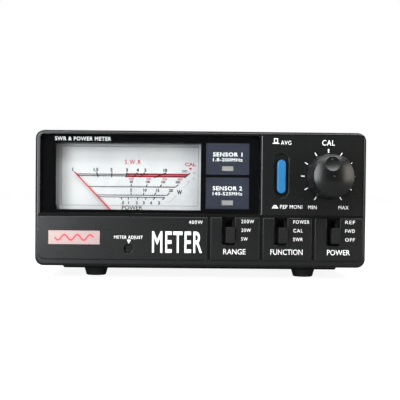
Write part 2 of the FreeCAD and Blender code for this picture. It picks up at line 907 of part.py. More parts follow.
def make_top_cover():
    """A sheet bent down at both sides, open at the bottom, front and back."""
    body = new_body("top_cover")
    outline = sketch(body, "front", ("0", "0", "-FrontY - BezelDeep - CaseGap"))
    inner = "(CoverSide - CoverSheet)"
    add_outline(outline, [
        ("-CoverSide", "CoverFoot"), ("-CoverSide", "CoverTop"), ("CoverSide", "CoverTop"),
        ("CoverSide", "CoverFoot"), (inner, "CoverFoot"), (inner, "CoverTop - CoverSheet"),
        (f"-{inner}", "CoverTop - CoverSheet"), (f"-{inner}", "CoverFoot"),
    ])
    pad(body, outline, "CaseDeep - BezelDeep - CaseGap", against=True)
    outside = number("CoverSide")
    top = number("CoverTop")
    fillet(body, "CoverBend", lambda edge, at: runs_along(edge, "Y") and near(abs(at.x), outside)
           and near(at.z, top))
    inside = number(inner)
    under = number("CoverTop - CoverSheet")
    fillet(body, "CoverBend - CoverSheet", lambda edge, at: runs_along(edge, "Y") and near(abs(at.x), inside)
           and near(at.z, under))
    holes = sketch(body, "side", ("0", "0", "CoverSide"))
    for depth in ("SideScrewFrontDeep", "SideScrewBackDeep"):
        add_circle(holes, (f"FrontY + {depth}", "SideScrewZ"), "ScrewHole")
    pocket(body, holes, "2 * CoverSide")


def make_chassis():
    """The bottom sheet, with a pressed-down plateau for the feet and a flange at each side."""
    body = new_body("chassis")
    floor = sketch(body, "top", ("0", "FrontY", "ChassisBottom"))
    add_rectangle(floor, "-ChassisSide", "ChassisSide", "BezelDeep + CaseGap", "CaseDeep - ChassisSheet")
    pad(body, floor, "ChassisSheet")
    plateau = sketch(body, "top", ("0", "FrontY", "ChassisBottom"))
    add_rectangle(plateau, "-PlateauSide", "PlateauSide", "PlateauFrontDeep", "PlateauBackDeep")
    pad(body, plateau, "ChassisBottom - PlateauBottom", against=True, slope="-PlateauSlope")
    hollow = sketch(body, "top", ("0", "FrontY", "ChassisBottom + ChassisSheet"))
    add_rectangle(hollow, "-PlateauSide + HollowSideInset", "PlateauSide - HollowSideInset",
                  "PlateauFrontDeep + HollowFrontInset", "PlateauBackDeep - HollowSideInset")
    pocket(body, hollow, "ChassisBottom - PlateauBottom", slope="-PlateauSlope")

    flanges = sketch(body, "top", ("0", "FrontY", "ChassisBottom + ChassisSheet"))
    for left, right in (("-ChassisSide", "-ChassisSide + ChassisSheet"),
                        ("ChassisSide - ChassisSheet", "ChassisSide")):
        add_rectangle(flanges, left, right, "FlangeFrontDeep", "CaseDeep - ChassisSheet")
    pad(body, flanges, "FlangeHeight - ChassisSheet")
    side_holes = sketch(body, "side", ("0", "0", "ChassisSide"))
    for depth in ("SideScrewFrontDeep", "SideScrewBackDeep"):
        add_circle(side_holes, (f"FrontY + {depth}", "SideScrewZ"), "ScrewTapHole")
    pocket(body, side_holes, "2 * ChassisSide")
    foot_holes = sketch(body, "top", ("0", "FrontY", "ChassisBottom + ChassisSheet"))
    for x in ("-FootX", "FootX"):
        for depth in ("FootFrontDeep", "FootBackDeep"):
            add_circle(foot_holes, (x, depth), "ScrewHole")
    pocket(body, foot_holes, "ChassisBottom + ChassisSheet")


def make_back_panel():
    """The flat back wall behind the chassis, with a lip bent forward onto the chassis floor."""
    body = new_body("back_panel")
    wall = sketch(body, "front", ("0", "0", "-FrontY - CaseDeep"))
    add_rectangle(wall, "-ChassisSide", "ChassisSide", "ChassisBottom", "RearTop")
    pad(body, wall, "ChassisSheet")
    rear_top = number("RearTop")
    fillet(body, "CoverBend", lambda edge, at: runs_along(edge, "Y") and near(at.z, rear_top))
    lip = sketch(body, "top", ("0", "FrontY", "ChassisBottom + ChassisSheet"))
    add_rectangle(lip, "-PlateauSide", "PlateauSide",
                  "CaseDeep - ChassisSheet - RearLip", "CaseDeep - ChassisSheet")
    pad(body, lip, "ChassisSheet")

    holes = sketch(body, "front", ("0", "SocketZ", "-FrontY - CaseDeep + ChassisSheet"))
    for step in range(4):
        middle = f"(SocketFirstX + {step} * SocketPitch)"
        add_circle(holes, (middle, "0"), "SocketPanelHole")
        for side, rise in CORNERS:
            centre = (f"{middle} + {side} * SocketScrewPitch / 2", f"{rise} * SocketScrewPitch / 2")
            add_circle(holes, centre, "ScrewHole")
    add_circle(holes, ("InletX", "0"), "InletBody + InletHolePlay")
    pocket(body, holes, "ChassisSheet")


FOOT_PLACES = {
    "front_left": ("-FootX", deep("FootFrontDeep")),
    "front_right": ("FootX", deep("FootFrontDeep")),
    "back_left": ("-FootX", deep("FootBackDeep")),
    "back_right": ("FootX", deep("FootBackDeep")),
}


def make_feet():
    """Turned rubber feet with a sunken screw each."""
    screws = []
    for corner, (x, y) in FOOT_PLACES.items():
        body = new_body("foot_" + corner)
        profile = sketch(body, "front", (x, "0", f"-({y})"))
        add_outline(profile, [
            ("FootWell", "0"), ("FootBottomRadius", "0"), ("FootTopRadius", "PlateauBottom"),
            ("ScrewHole", "PlateauBottom"), ("ScrewHole", "FootWellTop"), ("FootWell", "FootWellTop"),
        ])
        revolve(body, profile)
        foot_edge = number("FootBottomRadius")
        fillet(body, "FootRound", lambda edge, at: near(at.z, 0) and near(edge.Curve.Radius, foot_edge))
        face = "FootWellTop - FootScrewHeadThick"
        head = rod("FootScrewHead", (face, "FootWellTop"), (x, y), "Z")
        shank_end = "PlateauBottom + ChassisSheet + FootScrewSpare"
        shank = rod("ScrewRadius", ("FootWellTop", shank_end), (x, y), "Z")
        slot = box((f"{x} - FootSlotHalf", f"{x} + FootSlotHalf"),
                   (f"{y} - FootSlotWidth / 2", f"{y} + FootSlotWidth / 2"), (face, f"{face} + FootSlotDeep"))
        screws.append(cut(fuse([head, shank]), [slot]))
    group(screws, "foot_screws")


def make_side_screws():
    """Two pan-head screws on each side hold the cover to the chassis flanges."""
    screws = []
    for side in (-1, 1):
        for depth in ("SideScrewFrontDeep", "SideScrewBackDeep"):
            across = (deep(depth), "SideScrewZ")
            face = f"{side} * CoverSide"
            ends = [face, f"{side} * (CoverSide + ScrewHeadThick)"][::side]
            edge = f"{side} * (CoverSide + ScrewHeadThick)"
            head = rounded_head(rod("ScrewHead", ends, across, "X"), edge)
            shank = rod("ScrewThread", [face, f"{side} * (CoverSide - ScrewLong)"][::-side], across, "X")
            screws.append(cut(fuse([head, shank]), cross_slot(edge, across, side, "X")))
    group(screws, "cover_screws")


def rounded_head(head, edge):
    """Rounds the outer rim of a screw head, which lies in the plane at edge on the head's axis."""
    limit = number(edge)
    axis = "x" if head.Placement.Rotation.multVec(FreeCAD.Vector(0, 0, 1)).x > 0.5 else "y"
    return rounded(head, "ScrewHeadRound", lambda line, at: near(getattr(at, axis), limit))


def cross_slot(edge, across, side, axis):
    """The two blades of a cross recess at a screw head's face."""
    reach = [f"{edge} - {side} * CrossDeep", f"{edge} + {side} * Over"][::side]
    blades = []
    for first, second in (("CrossHalf", "CrossWidth / 2"), ("CrossWidth / 2", "CrossHalf")):
        spans = [(f"{across[0]} - {first}", f"{across[0]} + {first}"),
                 (f"{across[1]} - {second}", f"{across[1]} + {second}")]
        spans.insert("XYZ".index(axis), tuple(reach))
        blades.append(box(*spans))
    return blades


# ---------------------------------------------------------------- sockets, inlet and couplers


def make_sockets():
    """Four coaxial panel sockets: a turned shell on a square flange, an insulator and a spring contact."""
    face = "CaseDeep + SocketFlangeThick"
    tip = "CaseDeep + SocketReach"
    insulators = []
    contacts = []
    screws = []
    for step, role in enumerate(("1_antenna", "1_radio", "2_radio", "2_antenna")):
        middle = f"(SocketFirstX + {step} * SocketPitch)"
        across = (middle, "SocketZ")
        shell = new_body(f"socket_{role}")
        flange = sketch(shell, "front", (middle, "SocketZ", "-FrontY - CaseDeep"))
        half = "SocketFlange / 2"
        add_rectangle(flange, f"-{half}", half, f"-{half}", half)
        pad(shell, flange, "SocketFlangeThick", against=True)
        fillet(shell, "SocketCorner", lambda edge, at: runs_along(edge, "Y"))
        barrel = front_disc(shell, across, "CaseDeep", "SocketRadius")
        pad(shell, barrel, "SocketReach", against=True)
        boss = front_disc(shell, across, "CaseDeep", "SocketBoss")
        pad(shell, boss, "CaseDeep - SocketBossDeep")
        bore = front_disc(shell, across, tip, "SocketBore")
        pocket(shell, bore, f"{tip} - SocketBossDeep", along=True)
        lip = front_disc(shell, across, tip, "SocketBore + SocketLip")
        pocket(shell, lip, "SocketLip", along=True)
        holes = sketch(shell, "front", (middle, "SocketZ", f"-FrontY - ({face})"))
        for side, rise in CORNERS:
            offset = (f"{side} * SocketScrewPitch / 2", f"{rise} * SocketScrewPitch / 2")
            add_circle(holes, offset, "ScrewHole")
            screws.append(flange_screw((f"{middle} + {offset[0]}", f"SocketZ + {offset[1]}"), face))
        pocket(shell, holes, "SocketFlangeThick", along=True)

        plug = rod("SocketBore", (deep("SocketBossDeep"), deep(f"{tip} - 2 * SocketLip")), across)
        hole = rod("ContactRadius", (deep("SocketBossDeep"), deep(f"{tip}")), across)
        insulators.append(cut(plug, [hole]))
        sleeve = rod("ContactRadius", (deep("SocketBossDeep"), deep(f"{tip} - SocketLip")), across)
        tail = rod("ContactTail", (deep("ContactTailDeep"), deep("SocketBossDeep")), across)
        mouth = rod("ContactBore", (deep(f"{tip} - SocketLip - ContactBoreLong"), deep(f"{tip}")), across)
        slit_ends = (deep(f"{tip} - SocketLip - ContactSlitLong"), deep(tip))
        slits = [
            box((f"{middle} - ContactRadius", f"{middle} + ContactRadius"), slit_ends,
                ("SocketZ - ContactSlit / 2", "SocketZ + ContactSlit / 2")),
            box((f"{middle} - ContactSlit / 2", f"{middle} + ContactSlit / 2"), slit_ends,
                ("SocketZ - ContactRadius", "SocketZ + ContactRadius")),
        ]
        contacts.append(cut(fuse([sleeve, tail]), [mouth] + slits))
    group(insulators, "socket_insulators")
    group(contacts, "socket_contacts")
    group(screws, "socket_screws")


def front_disc(body, across, depth, radius):
    """A sketch of a circle facing the front at a depth."""
    drawing = sketch(body, "front", (across[0], across[1], f"-FrontY - ({depth})"))
    add_circle(drawing, ("0", "0"), radius)
    return drawing


def flange_screw(across, face):
    """A pan-head screw through a socket flange and the back wall."""
    edge = deep(f"{face} + ScrewHeadThick")
    head = rounded_head(rod("ScrewHead", (deep(face), edge), across), edge)
    shank = rod("ScrewThread", (deep(f"{face} - ScrewLong"), deep(face)), across)
    return cut(fuse([head, shank]), cross_slot(edge, across, 1, "Y"))


def make_power_inlet():
    """A coaxial supply inlet with a centre pin, clamped in the back wall by its flange and a nut."""
    across = ("InletX", "SocketZ")
    tip = "CaseDeep + InletFlangeThick"
    flange = rod("InletFlange", (deep("CaseDeep"), deep(tip)), across)
    barrel = rod("InletBody", (deep("InletBodyDeep"), deep("CaseDeep")), across)
    floor = f"{tip} - InletBoreLong"
    bore = rod("InletBore", (deep(floor), deep(f"{tip} + Over")), across)
    seat = rod("InletTail", (deep(f"{floor} - InletTailLong"), deep(tip)), across)
    node(cut(fuse([flange, barrel]), [bore, seat]), "power_inlet")
    pin = rod("InletPin", (deep(floor), deep(f"{floor} + InletPinLong")), across)
    tail = rod("InletTail", (deep(f"{floor} - InletTailLong"), deep(floor)), across)
    tag = box(("InletX - InletTagWidth / 2", "InletX + InletTagWidth / 2"),
              (deep("InletBodyDeep - InletTagLong"), deep("InletBodyDeep")),
              ("SocketZ - InletTagDrop - InletTagThick", "SocketZ - InletTagDrop"))
    group([fuse([pin, tail]), tag], "power_inlet_contacts")


def make_couplers():
    """Two shielded line sections, each a folded tray with a lid, and the through conductors."""
    trays = []
    lids = []
    lines = []
    for first in (0, 2):
        left = f"(SocketFirstX + {first} * SocketPitch - CouplerMargin)"
        right = f"(SocketFirstX + {first + 1} * SocketPitch + CouplerMargin)"
        low, top = "(SocketZ - CouplerHeight / 2)", "(SocketZ + CouplerHeight / 2)"
        wall = "CouplerSheet"
        outer = box((left, right), (deep("CouplerFrontDeep"), deep("CouplerBackDeep")), (low, top))
        inner = box((f"{left} + {wall}", f"{right} - {wall}"),
                    (deep("CouplerFrontDeep - Over"), deep(f"CouplerBackDeep - {wall}")),
                    (f"{low} + {wall}", f"{top} - {wall}"))
        holes = []
        for socket in (first, first + 1):
            middle = f"(SocketFirstX + {socket} * SocketPitch)"
            ends = (deep(f"CouplerBackDeep - {wall} - Over"), deep("CouplerBackDeep + Over"))
            holes.append(rod("SocketPanelHole", ends, (middle, "SocketZ")))
            for side, rise in CORNERS:
                corner = (f"{middle} + {side} * SocketScrewPitch / 2",
                          f"SocketZ + {rise} * SocketScrewPitch / 2")
                holes.append(rod("ScrewHole", ends, corner))
        trays.append(cut(outer, [inner] + holes))
        lid_ends = (deep(f"CouplerFrontDeep - {wall}"), deep("CouplerFrontDeep"))
        lid = box((left, right), lid_ends, (low, top))
        vents = [rod("VentRadius", lid_ends, (f"({left} + {right}) / 2 + {step} * VentPitch", "SocketZ"))
                 for step in (-1, 0, 1)]
        lids.append(cut(lid, vents))
        first_x = f"(SocketFirstX + {first} * SocketPitch)"
        lines.append(rod("LineRadius", (f"{first_x} - LineSpare", f"{first_x} + SocketPitch + LineSpare"),
                         (deep("LineDeep - LineRadius - ContactTail - LineGap"), "SocketZ"), "X"))
    group(trays, "coupler_trays")
    group(lids, "coupler_lids")
    group(lines, "through_lines")


# ---------------------------------------------------------------- moving-coil meter


def make_meter_housing():
    """A clear front with a raised lens over a black case."""
    sides = ("MeterX - MeterSide", "MeterX + MeterSide")
    ends = (high("MeterBottom"), high("MeterTop"))
    inner_sides = (f"{sides[0]} + MeterWall", f"{sides[1]} - MeterWall")
    inner_ends = (f"{ends[0]} + MeterWall", f"{ends[1]} - MeterWall")
    shell = box(sides, (deep("MeterFrontDeep"), deep("MeterJoinDeep")), ends)
    lens = box(("LensLeft", "LensRight"), (deep("MeterFrontDeep - LensRise"), deep("MeterFrontDeep")),
               (high("LensBottom"), high("LensTop")))
    hollow = box(inner_sides, (deep("MeterFrontDeep + MeterWall"), deep("MeterJoinDeep + Over")), inner_ends)
    hole_ends = (deep("MeterFrontDeep - Over"), deep("MeterFrontDeep + MeterWall + Over"))
    screw_hole = rod("AdjustShankHole", hole_ends, ("MeterX", high("AdjustZ")))
    node(cut(fuse([shell, lens]), [hollow, screw_hole]), "meter_cover")

    tub = box(sides, (deep("MeterJoinDeep"), deep("MeterBackDeep")), ends)
    room = box(inner_sides, (deep("MeterJoinDeep - Over"), deep("MeterBackDeep - MeterWall")), inner_ends)
    posts = []
    post_ends = (deep("ScaleDeep + ScaleThick"), deep("MeterBackDeep - MeterWall"))
    for side in (-1, 1):
        for height in ("MeterBottom + ShelfInset", "MeterTop - ShelfInset"):
            corner = (f"MeterX + {side} * (MeterSide - ShelfInset)", high(height))
            posts.append(rod("ShelfRadius", post_ends, corner))
    node(fuse([cut(tub, [room])] + posts), "meter_case")

    plate = new_body("scale_plate")
    outline = sketch(plate, "front", ("MeterX", "MidHeight", "-FrontY - ScaleDeep"))
    foot = "MeterBottom + ScaleFoot"
    add_outline(outline, [
        ("-ScaleSide", foot), ("-NotchFoot", foot), ("-NotchTop", "ScaleBottom"), ("NotchTop", "ScaleBottom"),
        ("NotchFoot", foot), ("ScaleSide", foot), ("ScaleSide", "ScaleTop"), ("-ScaleSide", "ScaleTop"),
    ])
    pad(plate, outline, "ScaleThick", against=True)


PIVOT = ("MeterX", high("PivotZ"))


def make_magnet_parts():
    """A core magnet in an iron ring, and the bridge that carries the jewels."""
    x, z = PIVOT
    core_ends = (deep("CoreFrontDeep"), deep("CoreFrontDeep + CoreLong"))
    core = rod("CoreRadius", core_ends, PIVOT)
    hole = rod("CoreHole", (deep("CoreFrontDeep - Over"), deep("CoreFrontDeep + CoreLong + Over")), PIVOT)
    node(cut(core, [hole]), "meter_magnet")

    ring = cut(rod("YokeOuter", core_ends, PIVOT), [rod("YokeInner", core_ends, PIVOT)])
    arms = []
    for rise in (-1, 1):
        limits = (f"{z} + {rise} * CoreRadius", f"{z} + {rise} * (YokeInner + YokeLap)")
        arms.append(box((f"{x} - YokeArm / 2", f"{x} + YokeArm / 2"), core_ends, limits[::rise]))
    inner = rod("CoreRadius", core_ends, PIVOT)
    floor = f"{high('MeterBottom')} + MeterWall"
    foot = box((f"{x} - YokeOuter", f"{x} + YokeOuter"),
               (deep("CoreFrontDeep + CoreLong - YokeFootThick"), core_ends[1]),
               (floor, f"{z} - YokeInner - YokeGap"))
    stand = box((f"{x} - YokeStand / 2", f"{x} + YokeStand / 2"),
                (core_ends[1], deep("MeterBackDeep - MeterWall")), (floor, f"{z} - YokeInner"))
    node(fuse([cut(fuse([ring] + arms), [inner]), foot, stand]), "meter_yoke")

    frame = []
    tall = (f"{z} - BridgeHalf", f"{z} + BridgeHalf")
    for start in ("BridgeDeep", "StaffBackDeep"):
        frame.append(box((f"{x} - BridgeSide", f"{x} + BridgeSide"),
                         (deep(start), deep(f"{start} + BridgeThick")), tall))
    for side in (-1, 1):
        limits = (f"{x} + {side} * (BridgeSide - BridgeLeg)", f"{x} + {side} * BridgeSide")[::side]
        frame.append(box(limits, (deep("BridgeDeep"), deep("CoreFrontDeep")), tall))
        frame.append(box(limits, (core_ends[1], deep("StaffBackDeep + BridgeThick")), tall))
    jewels = [rod("JewelRadius", (deep("BridgeDeep - JewelRise"), deep("StaffFrontDeep + JewelLap")), PIVOT),
              rod("JewelRadius", (deep("StaffBackDeep - JewelRise"),
                                  deep("StaffBackDeep + BridgeThick + JewelRise")), PIVOT)]
    cups = [rod("JewelHole", (deep("StaffFrontDeep"), deep("StaffFrontDeep + Over")), PIVOT),
            rod("JewelHole", (deep("StaffBackDeep - Over"), deep("StaffBackDeep")), PIVOT)]
    node(cut(fuse(frame + jewels), cups), "meter_bridge")


def make_movement():
    """The needle with its hub, tail and balance weights, and the coil on its staff."""
    x, z = PIVOT
    front = "NeedleDeep - HubLead"
    hub = rod("HubRadius", (deep(front), deep(f"{front} + HubThick")), PIVOT)
    staff_hole = rod("StaffRadius", (deep(f"{front} - Over"), deep(f"{front} + HubThick + Over")), PIVOT)
    tail_end = (f"{x} + NeedleTail * sin(NeedleRest)", f"{z} - NeedleTail * cos(NeedleRest)")
    weight = rod("WeightRadius", (deep(front), deep(f"{front} + WeightThick")), tail_end)
    node(cut(fuse([hub, needle_blade(), weight]), [staff_hole]), "needle")

    staff = rod("StaffRadius", (deep("StaffFrontDeep"), deep("StaffBackDeep")), PIVOT)
    bars = []
    for side in (-1, 1):
        limits = (f"{x} + {side} * CoilInner", f"{x} + {side} * CoilOuter")[::side]
        bars.append(box(limits, (deep("CoilFrontDeep"), deep("CoilBackDeep")),
                        (f"{z} - CoilWidth / 2", f"{z} + CoilWidth / 2")))
    for start in ("CoilFrontDeep", "CoilBackDeep - CoilBar"):
        bars.append(box((f"{x} - CoilOuter", f"{x} + CoilOuter"), (deep(start), deep(f"{start} + CoilBar")),
                        (f"{z} - CoilWidth / 2", f"{z} + CoilWidth / 2")))
    coil = fuse(bars)
    turned = doc.addObject("Part::Feature", "turned_coil")
    doc.recompute()
    middle = FreeCAD.Vector(number(x), 0, number(z))
    shape = fused_shape([coil, staff])
    shape.rotate(middle, FreeCAD.Vector(0, 1, 0), -number("NeedleRest"))
    turned.Shape = shape
    node(turned, "moving_coil")

    spring = doc.addObject("Part::Feature", "spring")
    spring.Shape = hairspring_shape()
    node(spring, "hairspring")


def fused_shape(items):
    shape = items[0].Shape.fuse([item.Shape for item in items[1:]])
    return shape.removeSplitter()


def needle_blade():
    """A flat blade that narrows to its tip, at its rest angle, with a short tail."""
    x, z = PIVOT
    drawing = doc.addObject("Part::Wedge", "blade")
    bind(drawing, Xmin="-NeedleRoot / 2", Xmax="NeedleRoot / 2",
         X2min="-NeedleTip / 2", X2max="NeedleTip / 2",
         Ymin="0", Ymax="NeedleLong", Zmin="0", Zmax="NeedleThick", Z2min="0", Z2max="NeedleThick")
    lean = number("NeedleRest")
    turn = FreeCAD.Rotation(FreeCAD.Vector(0, 1, 0), -lean) * FreeCAD.Rotation(FreeCAD.Vector(1, 0, 0), 90)
    drawing.Placement = FreeCAD.Placement(FreeCAD.Vector(), turn)
    place(drawing, x, deep("NeedleDeep + NeedleThick"), z)
    tail = doc.addObject("Part::Box", "tail")
    bind(tail, Length="NeedleRoot", Width="NeedleThick", Height="NeedleTail")
    down = FreeCAD.Rotation(FreeCAD.Vector(0, 1, 0), 180 - lean)
    tail.Placement = FreeCAD.Placement(FreeCAD.Vector(), down)
    place(tail, f"{x} + NeedleRoot / 2 * cos(NeedleRest)", deep("NeedleDeep"),
          f"{z} + NeedleRoot / 2 * sin(NeedleRest)")
    return fuse([drawing, tail])


def hairspring_shape():
    """A flat spiral strip around the staff, swept from short arcs."""
    x, z = (number(axis) for axis in PIVOT)
    first, growth, turns = number("SpringFirst"), number("SpringGrowth"), number("SpringTurns")
    thick = number("SpringThick")
    front = number(deep("SpringDeep"))

    def rim(offset):
        points = []
        steps = int(turns * 24)
        for step in range(steps + 1):
            angle = 2 * math.pi * turns * step / steps
            radius = first + growth * angle / (2 * math.pi) + offset
            points.append(FreeCAD.Vector(x + radius * math.cos(angle), front, z + radius * math.sin(angle)))
        curve = Part.BSplineCurve()
        curve.interpolate(points)
        return curve.toShape()

    inner, outer = rim(-thick / 2), rim(thick / 2)
    starts = Part.makeLine(inner.Vertexes[0].Point, outer.Vertexes[0].Point)
    ends = Part.makeLine(inner.Vertexes[-1].Point, outer.Vertexes[-1].Point)
    face = Part.Face(Part.Wire(Part.__sortEdges__([inner, outer, starts, ends])))
    return face.extrude(FreeCAD.Vector(0, number("SpringTall"), 0))


def make_zero_adjuster():
    """A slotted screw with an off-centre pin, and the forked lever that the pin swings."""
    x, z = PIVOT
    screw_z = high("AdjustZ")
    centre = ("MeterX", screw_z)
    shoulder = deep("MeterFrontDeep - LensRise - AdjustHeadGap")
    head = rod("AdjustHead", (deep("AdjustHeadDeep"), shoulder), centre)
    shank = rod("AdjustShank", (shoulder, deep("AdjustShankEnd")), centre)
    pin = rod("AdjustPin", (deep("AdjustShankEnd"), deep("AdjustPinEnd")),
              ("MeterX", f"{screw_z} + AdjustPinOffset"))
    slot = box(("MeterX - AdjustHead", "MeterX + AdjustHead"),
               (deep("AdjustHeadDeep"), deep("AdjustHeadDeep + AdjustSlotDeep")),
               (f"{screw_z} - AdjustSlot / 2", f"{screw_z} + AdjustSlot / 2"))
    node(cut(fuse([head, shank, pin]), [slot]), "zero_adjust_screw")

    ends = (deep("LeverDeep"), deep("LeverDeep + LeverThick"))
    ring = rod("LeverRing", ends, PIVOT)
    arm = box((f"{x} - LeverWidth / 2", f"{x} + LeverWidth / 2"), ends, (f"{z} - LeverEnd", z))
    bore = rod("LeverHole", ends, PIVOT)
    slit = box((f"{x} - LeverSlot / 2", f"{x} + LeverSlot / 2"), ends,
               (f"{z} - LeverEnd - Over", f"{z} - LeverEnd + LeverSlitLong"))
    node(cut(fuse([ring, arm]), [bore, slit]), "zero_lever")


def make_meter_bulb():
    """A small tubular bulb that lights the scale from below."""
    top = high("BulbZ + BulbLong")
    glass = rod("BulbRadius", (high("BulbZ"), top), ("BulbX", deep("BulbDeep")), "Z")
    dome = ball("BulbRadius", ("BulbX", deep("BulbDeep"), top))
    node(fuse([glass, dome]), "meter_bulb")


# ---------------------------------------------------------------- boards and what they carry


def make_boards():
    board_ends = (deep("FrontBoardDeep"), deep("FrontBoardDeep + BoardThick"))
    board = box(("FrontBoardLeft", "FrontBoardRight"), board_ends,
                (high("FrontBoardBottom"), high("FrontBoardTop")))
    node(cut(board, [rod("PotBoardHole", board_ends, ("KnobX", high("KnobZ")))]), "front_board")

    z = ("MainBoardZ", "MainBoardZ + BoardThick")
    board = box(("-MainBoardSide", "MainBoardSide"),
                (deep("MainBoardFrontDeep"), deep("MainBoardBackDeep")), z)
    spacers = []
    for side in (-1, 1):
        for depth in ("SpacerFrontDeep", "SpacerBackDeep"):
            across = (f"{side} * SpacerX", deep(depth))
            spacers.append(rod("SpacerRadius", ("PlateauBottom + ChassisSheet", "MainBoardZ"), across, "Z"))
            spacers.append(rod("ScrewHead", (z[1], f"{z[1]} + ScrewHeadThick"), across, "Z"))
    node(board, "main_board")
    group(spacers, "board_spacers")


def make_board_parts():
    """Chips, capacitors and trimmers on the main board."""
    top = "MainBoardZ + BoardThick"
    chips = []
    for step in range(2):
        left = f"(ChipFirstX + {step} * ChipPitch)"
        chips.append(box((left, f"{left} + ChipLong"), (deep("ChipDeep"), deep("ChipDeep + ChipWide")),
                         (f"{top} + ChipLift", f"{top} + ChipLift + ChipTall")))
        for pin in range(4):
            x = f"({left} + PinEdge + {pin} * PinPitch)"
            for row_front in ("ChipDeep - PinThick", "ChipDeep + ChipWide"):
                chips.append(box((x, f"{x} + PinWide"), (deep(row_front), deep(f"{row_front} + PinThick")),
                                 (top, f"{top} + PinTall")))
    group(chips, "chips")

    cans = []
    for side in (-1, 1):
        cans.append(rod("CanRadius", (top, f"{top} + CanTall"), (f"{side} * CanX", deep("CanDeep")), "Z"))
        cans.append(rod("SmallCanRadius", (top, f"{top} + SmallCanTall"),
                        (f"{side} * CanX", deep("SmallCanDeep")), "Z"))
    group(cans, "capacitors")

    trimmers = []
    for step in range(4):
        left = f"(TrimFirstX + {step} * TrimPitch)"
        middle = (f"({left} + TrimSide / 2)", deep("TrimDeep + TrimSide / 2"))
        base = box((left, f"{left} + TrimSide"), (deep("TrimDeep"), deep("TrimDeep + TrimSide")),
                   (top, f"{top} + TrimTall"))
        rotor_ends = (f"{top} + TrimTall - WiperRise", f"{top} + TrimTall + WiperRise")
        rotor = rod("WiperRadius", rotor_ends, middle, "Z")
        slot = box((f"{middle[0]} - WiperSlotLong / 2", f"{middle[0]} + WiperSlotLong / 2"),
                   (f"{middle[1]} - WiperSlotWide / 2", f"{middle[1]} + WiperSlotWide / 2"),
                   (f"{top} + TrimTall", f"{top} + TrimTall + Over"))
        trimmers.append(cut(fuse([base, rotor]), [slot]))
    group(trimmers, "trimmers")


def make_ribbon_cable():
    """A flat ribbon clipped between the two boards, bent once."""
    body = new_body("ribbon_cable")
    profile = sketch(body, "side", ("0", "0", "RibbonX"))
    front = "FrontY + FrontBoardDeep + BoardThick"
    back = "FrontY + MainBoardFrontDeep + RibbonReach"
    under = "RibbonTop - RibbonThick"
    foot = "MainBoardZ + BoardThick"
    add_outline(profile, [
        (front, "RibbonTop"), (f"{back} + RibbonThick", "RibbonTop"), (f"{back} + RibbonThick", foot),
        (back, foot), (back, under), (front, under),
    ])
    pad(body, profile, "RibbonWide")
    for bend, y, z in (("RibbonBend", f"{back} + RibbonThick", "RibbonTop"),
                       ("RibbonBend - RibbonThick", back, under)):
        line_y, line_z = number(y), number(z)
        fillet(body, bend, lambda edge, at: runs_along(edge, "X") and near(at.y, line_y)
               and near(at.z, line_z))


# ---------------------------------------------------------------- controls


def make_calibration_control():
    """The knob on the shaft of a rotary control that its nut holds to the front."""
    knob = new_body("cal_knob")
    profile = sketch(knob, "top", ("KnobX", "0", high("KnobZ")))
    back = deep("KnobBackDeep")
    nose = "(FrontY - KnobReach)"
    add_outline(profile, [
        ("ShaftRadius", deep("ShaftFrontDeep")), ("0", deep("ShaftFrontDeep")), ("0", nose),
        ("KnobNose", f"{nose} + KnobDome"), ("KnobNeck", f"{back} - KnobSkirtThick - KnobSkirtSlope"),
        ("KnobSkirt", f"{back} - KnobSkirtThick"), ("KnobSkirt", back), ("KnobHollow", back),
        ("KnobHollow", f"{back} - KnobHollowLong"), ("ShaftRadius", f"{back} - KnobHollowLong"),
    ], dome=2)
    revolve(knob, profile)
    rim_y = number(f"{nose} + KnobDome")
    fillet(knob, "KnobNoseRound", lambda edge, at: near(edge.BoundBox.YMin, rim_y)
           and near(edge.BoundBox.YMax, rim_y))
    for name, radius, rise, ahead in (("dimple", "DimpleRadius", "DimpleRise", "DimpleAhead"),
                                      ("mark", "MarkRadius", "MarkRise", "MarkAhead")):
        hollow = knob.newObject("PartDesign::SubtractiveSphere", name)
        hollow.AttachmentSupport = [(origin_plane(knob, "top"), "")]
        hollow.MapMode = "FlatFace"
        bind(hollow, Radius=radius, AttachmentOffset__Base__x=f"KnobX + {rise} * sin(KnobTurn)",
             AttachmentOffset__Base__y=f"{nose} - {ahead}",
             AttachmentOffset__Base__z=f"{high('KnobZ')} + {rise} * cos(KnobTurn)")
        knob.Tip = hollow

    across = ("KnobX", high("KnobZ"))
    node(rod("ShaftRadius", (deep("ShaftFrontDeep"), deep("ShaftBackDeep")), across), "cal_shaft")
    can = rod("PotRadius", (deep("PotFrontDeep"), deep("FrontBoardDeep")), across)
    bush = rod("BushRadius", (deep("BushFrontDeep"), deep("PotFrontDeep")), across)
    tags = []
    for step in (-1, 0, 1):
        x = f"(KnobX + {step} * PotTagPitch)"
        tags.append(box((f"{x} - PotTagWidth / 2", f"{x} + PotTagWidth / 2"),
                        (deep("PotTagDeep"), deep("PotTagDeep + PotTagThick")),
                        (f"{across[1]} - PotTagBottom", f"{across[1]} - PotTagTop")))
    bore_ends = (deep("BushFrontDeep - Over"), deep("ShaftBackDeep + PotBoreSpare"))
    bore = rod("ShaftRadius + PotGap", bore_ends, across)
    node(cut(fuse([can, bush] + tags), [bore]), "cal_control")
    nut = doc.addObject("Part::Prism", "nut")
    nut.Polygon = 6
    nut.Placement = FreeCAD.Placement(FreeCAD.Vector(), TURNS["Y"])
    bind(nut, Circumradius="NutRadius", Height="NutThick")
    place(nut, across[0], deep("PanelSink - NutThick"), across[1])
    thread = rod("BushRadius", (deep("PanelSink - NutThick - Over"), deep("PanelSink + Over")), across)
    node(cut(nut, [thread]), "cal_nut")


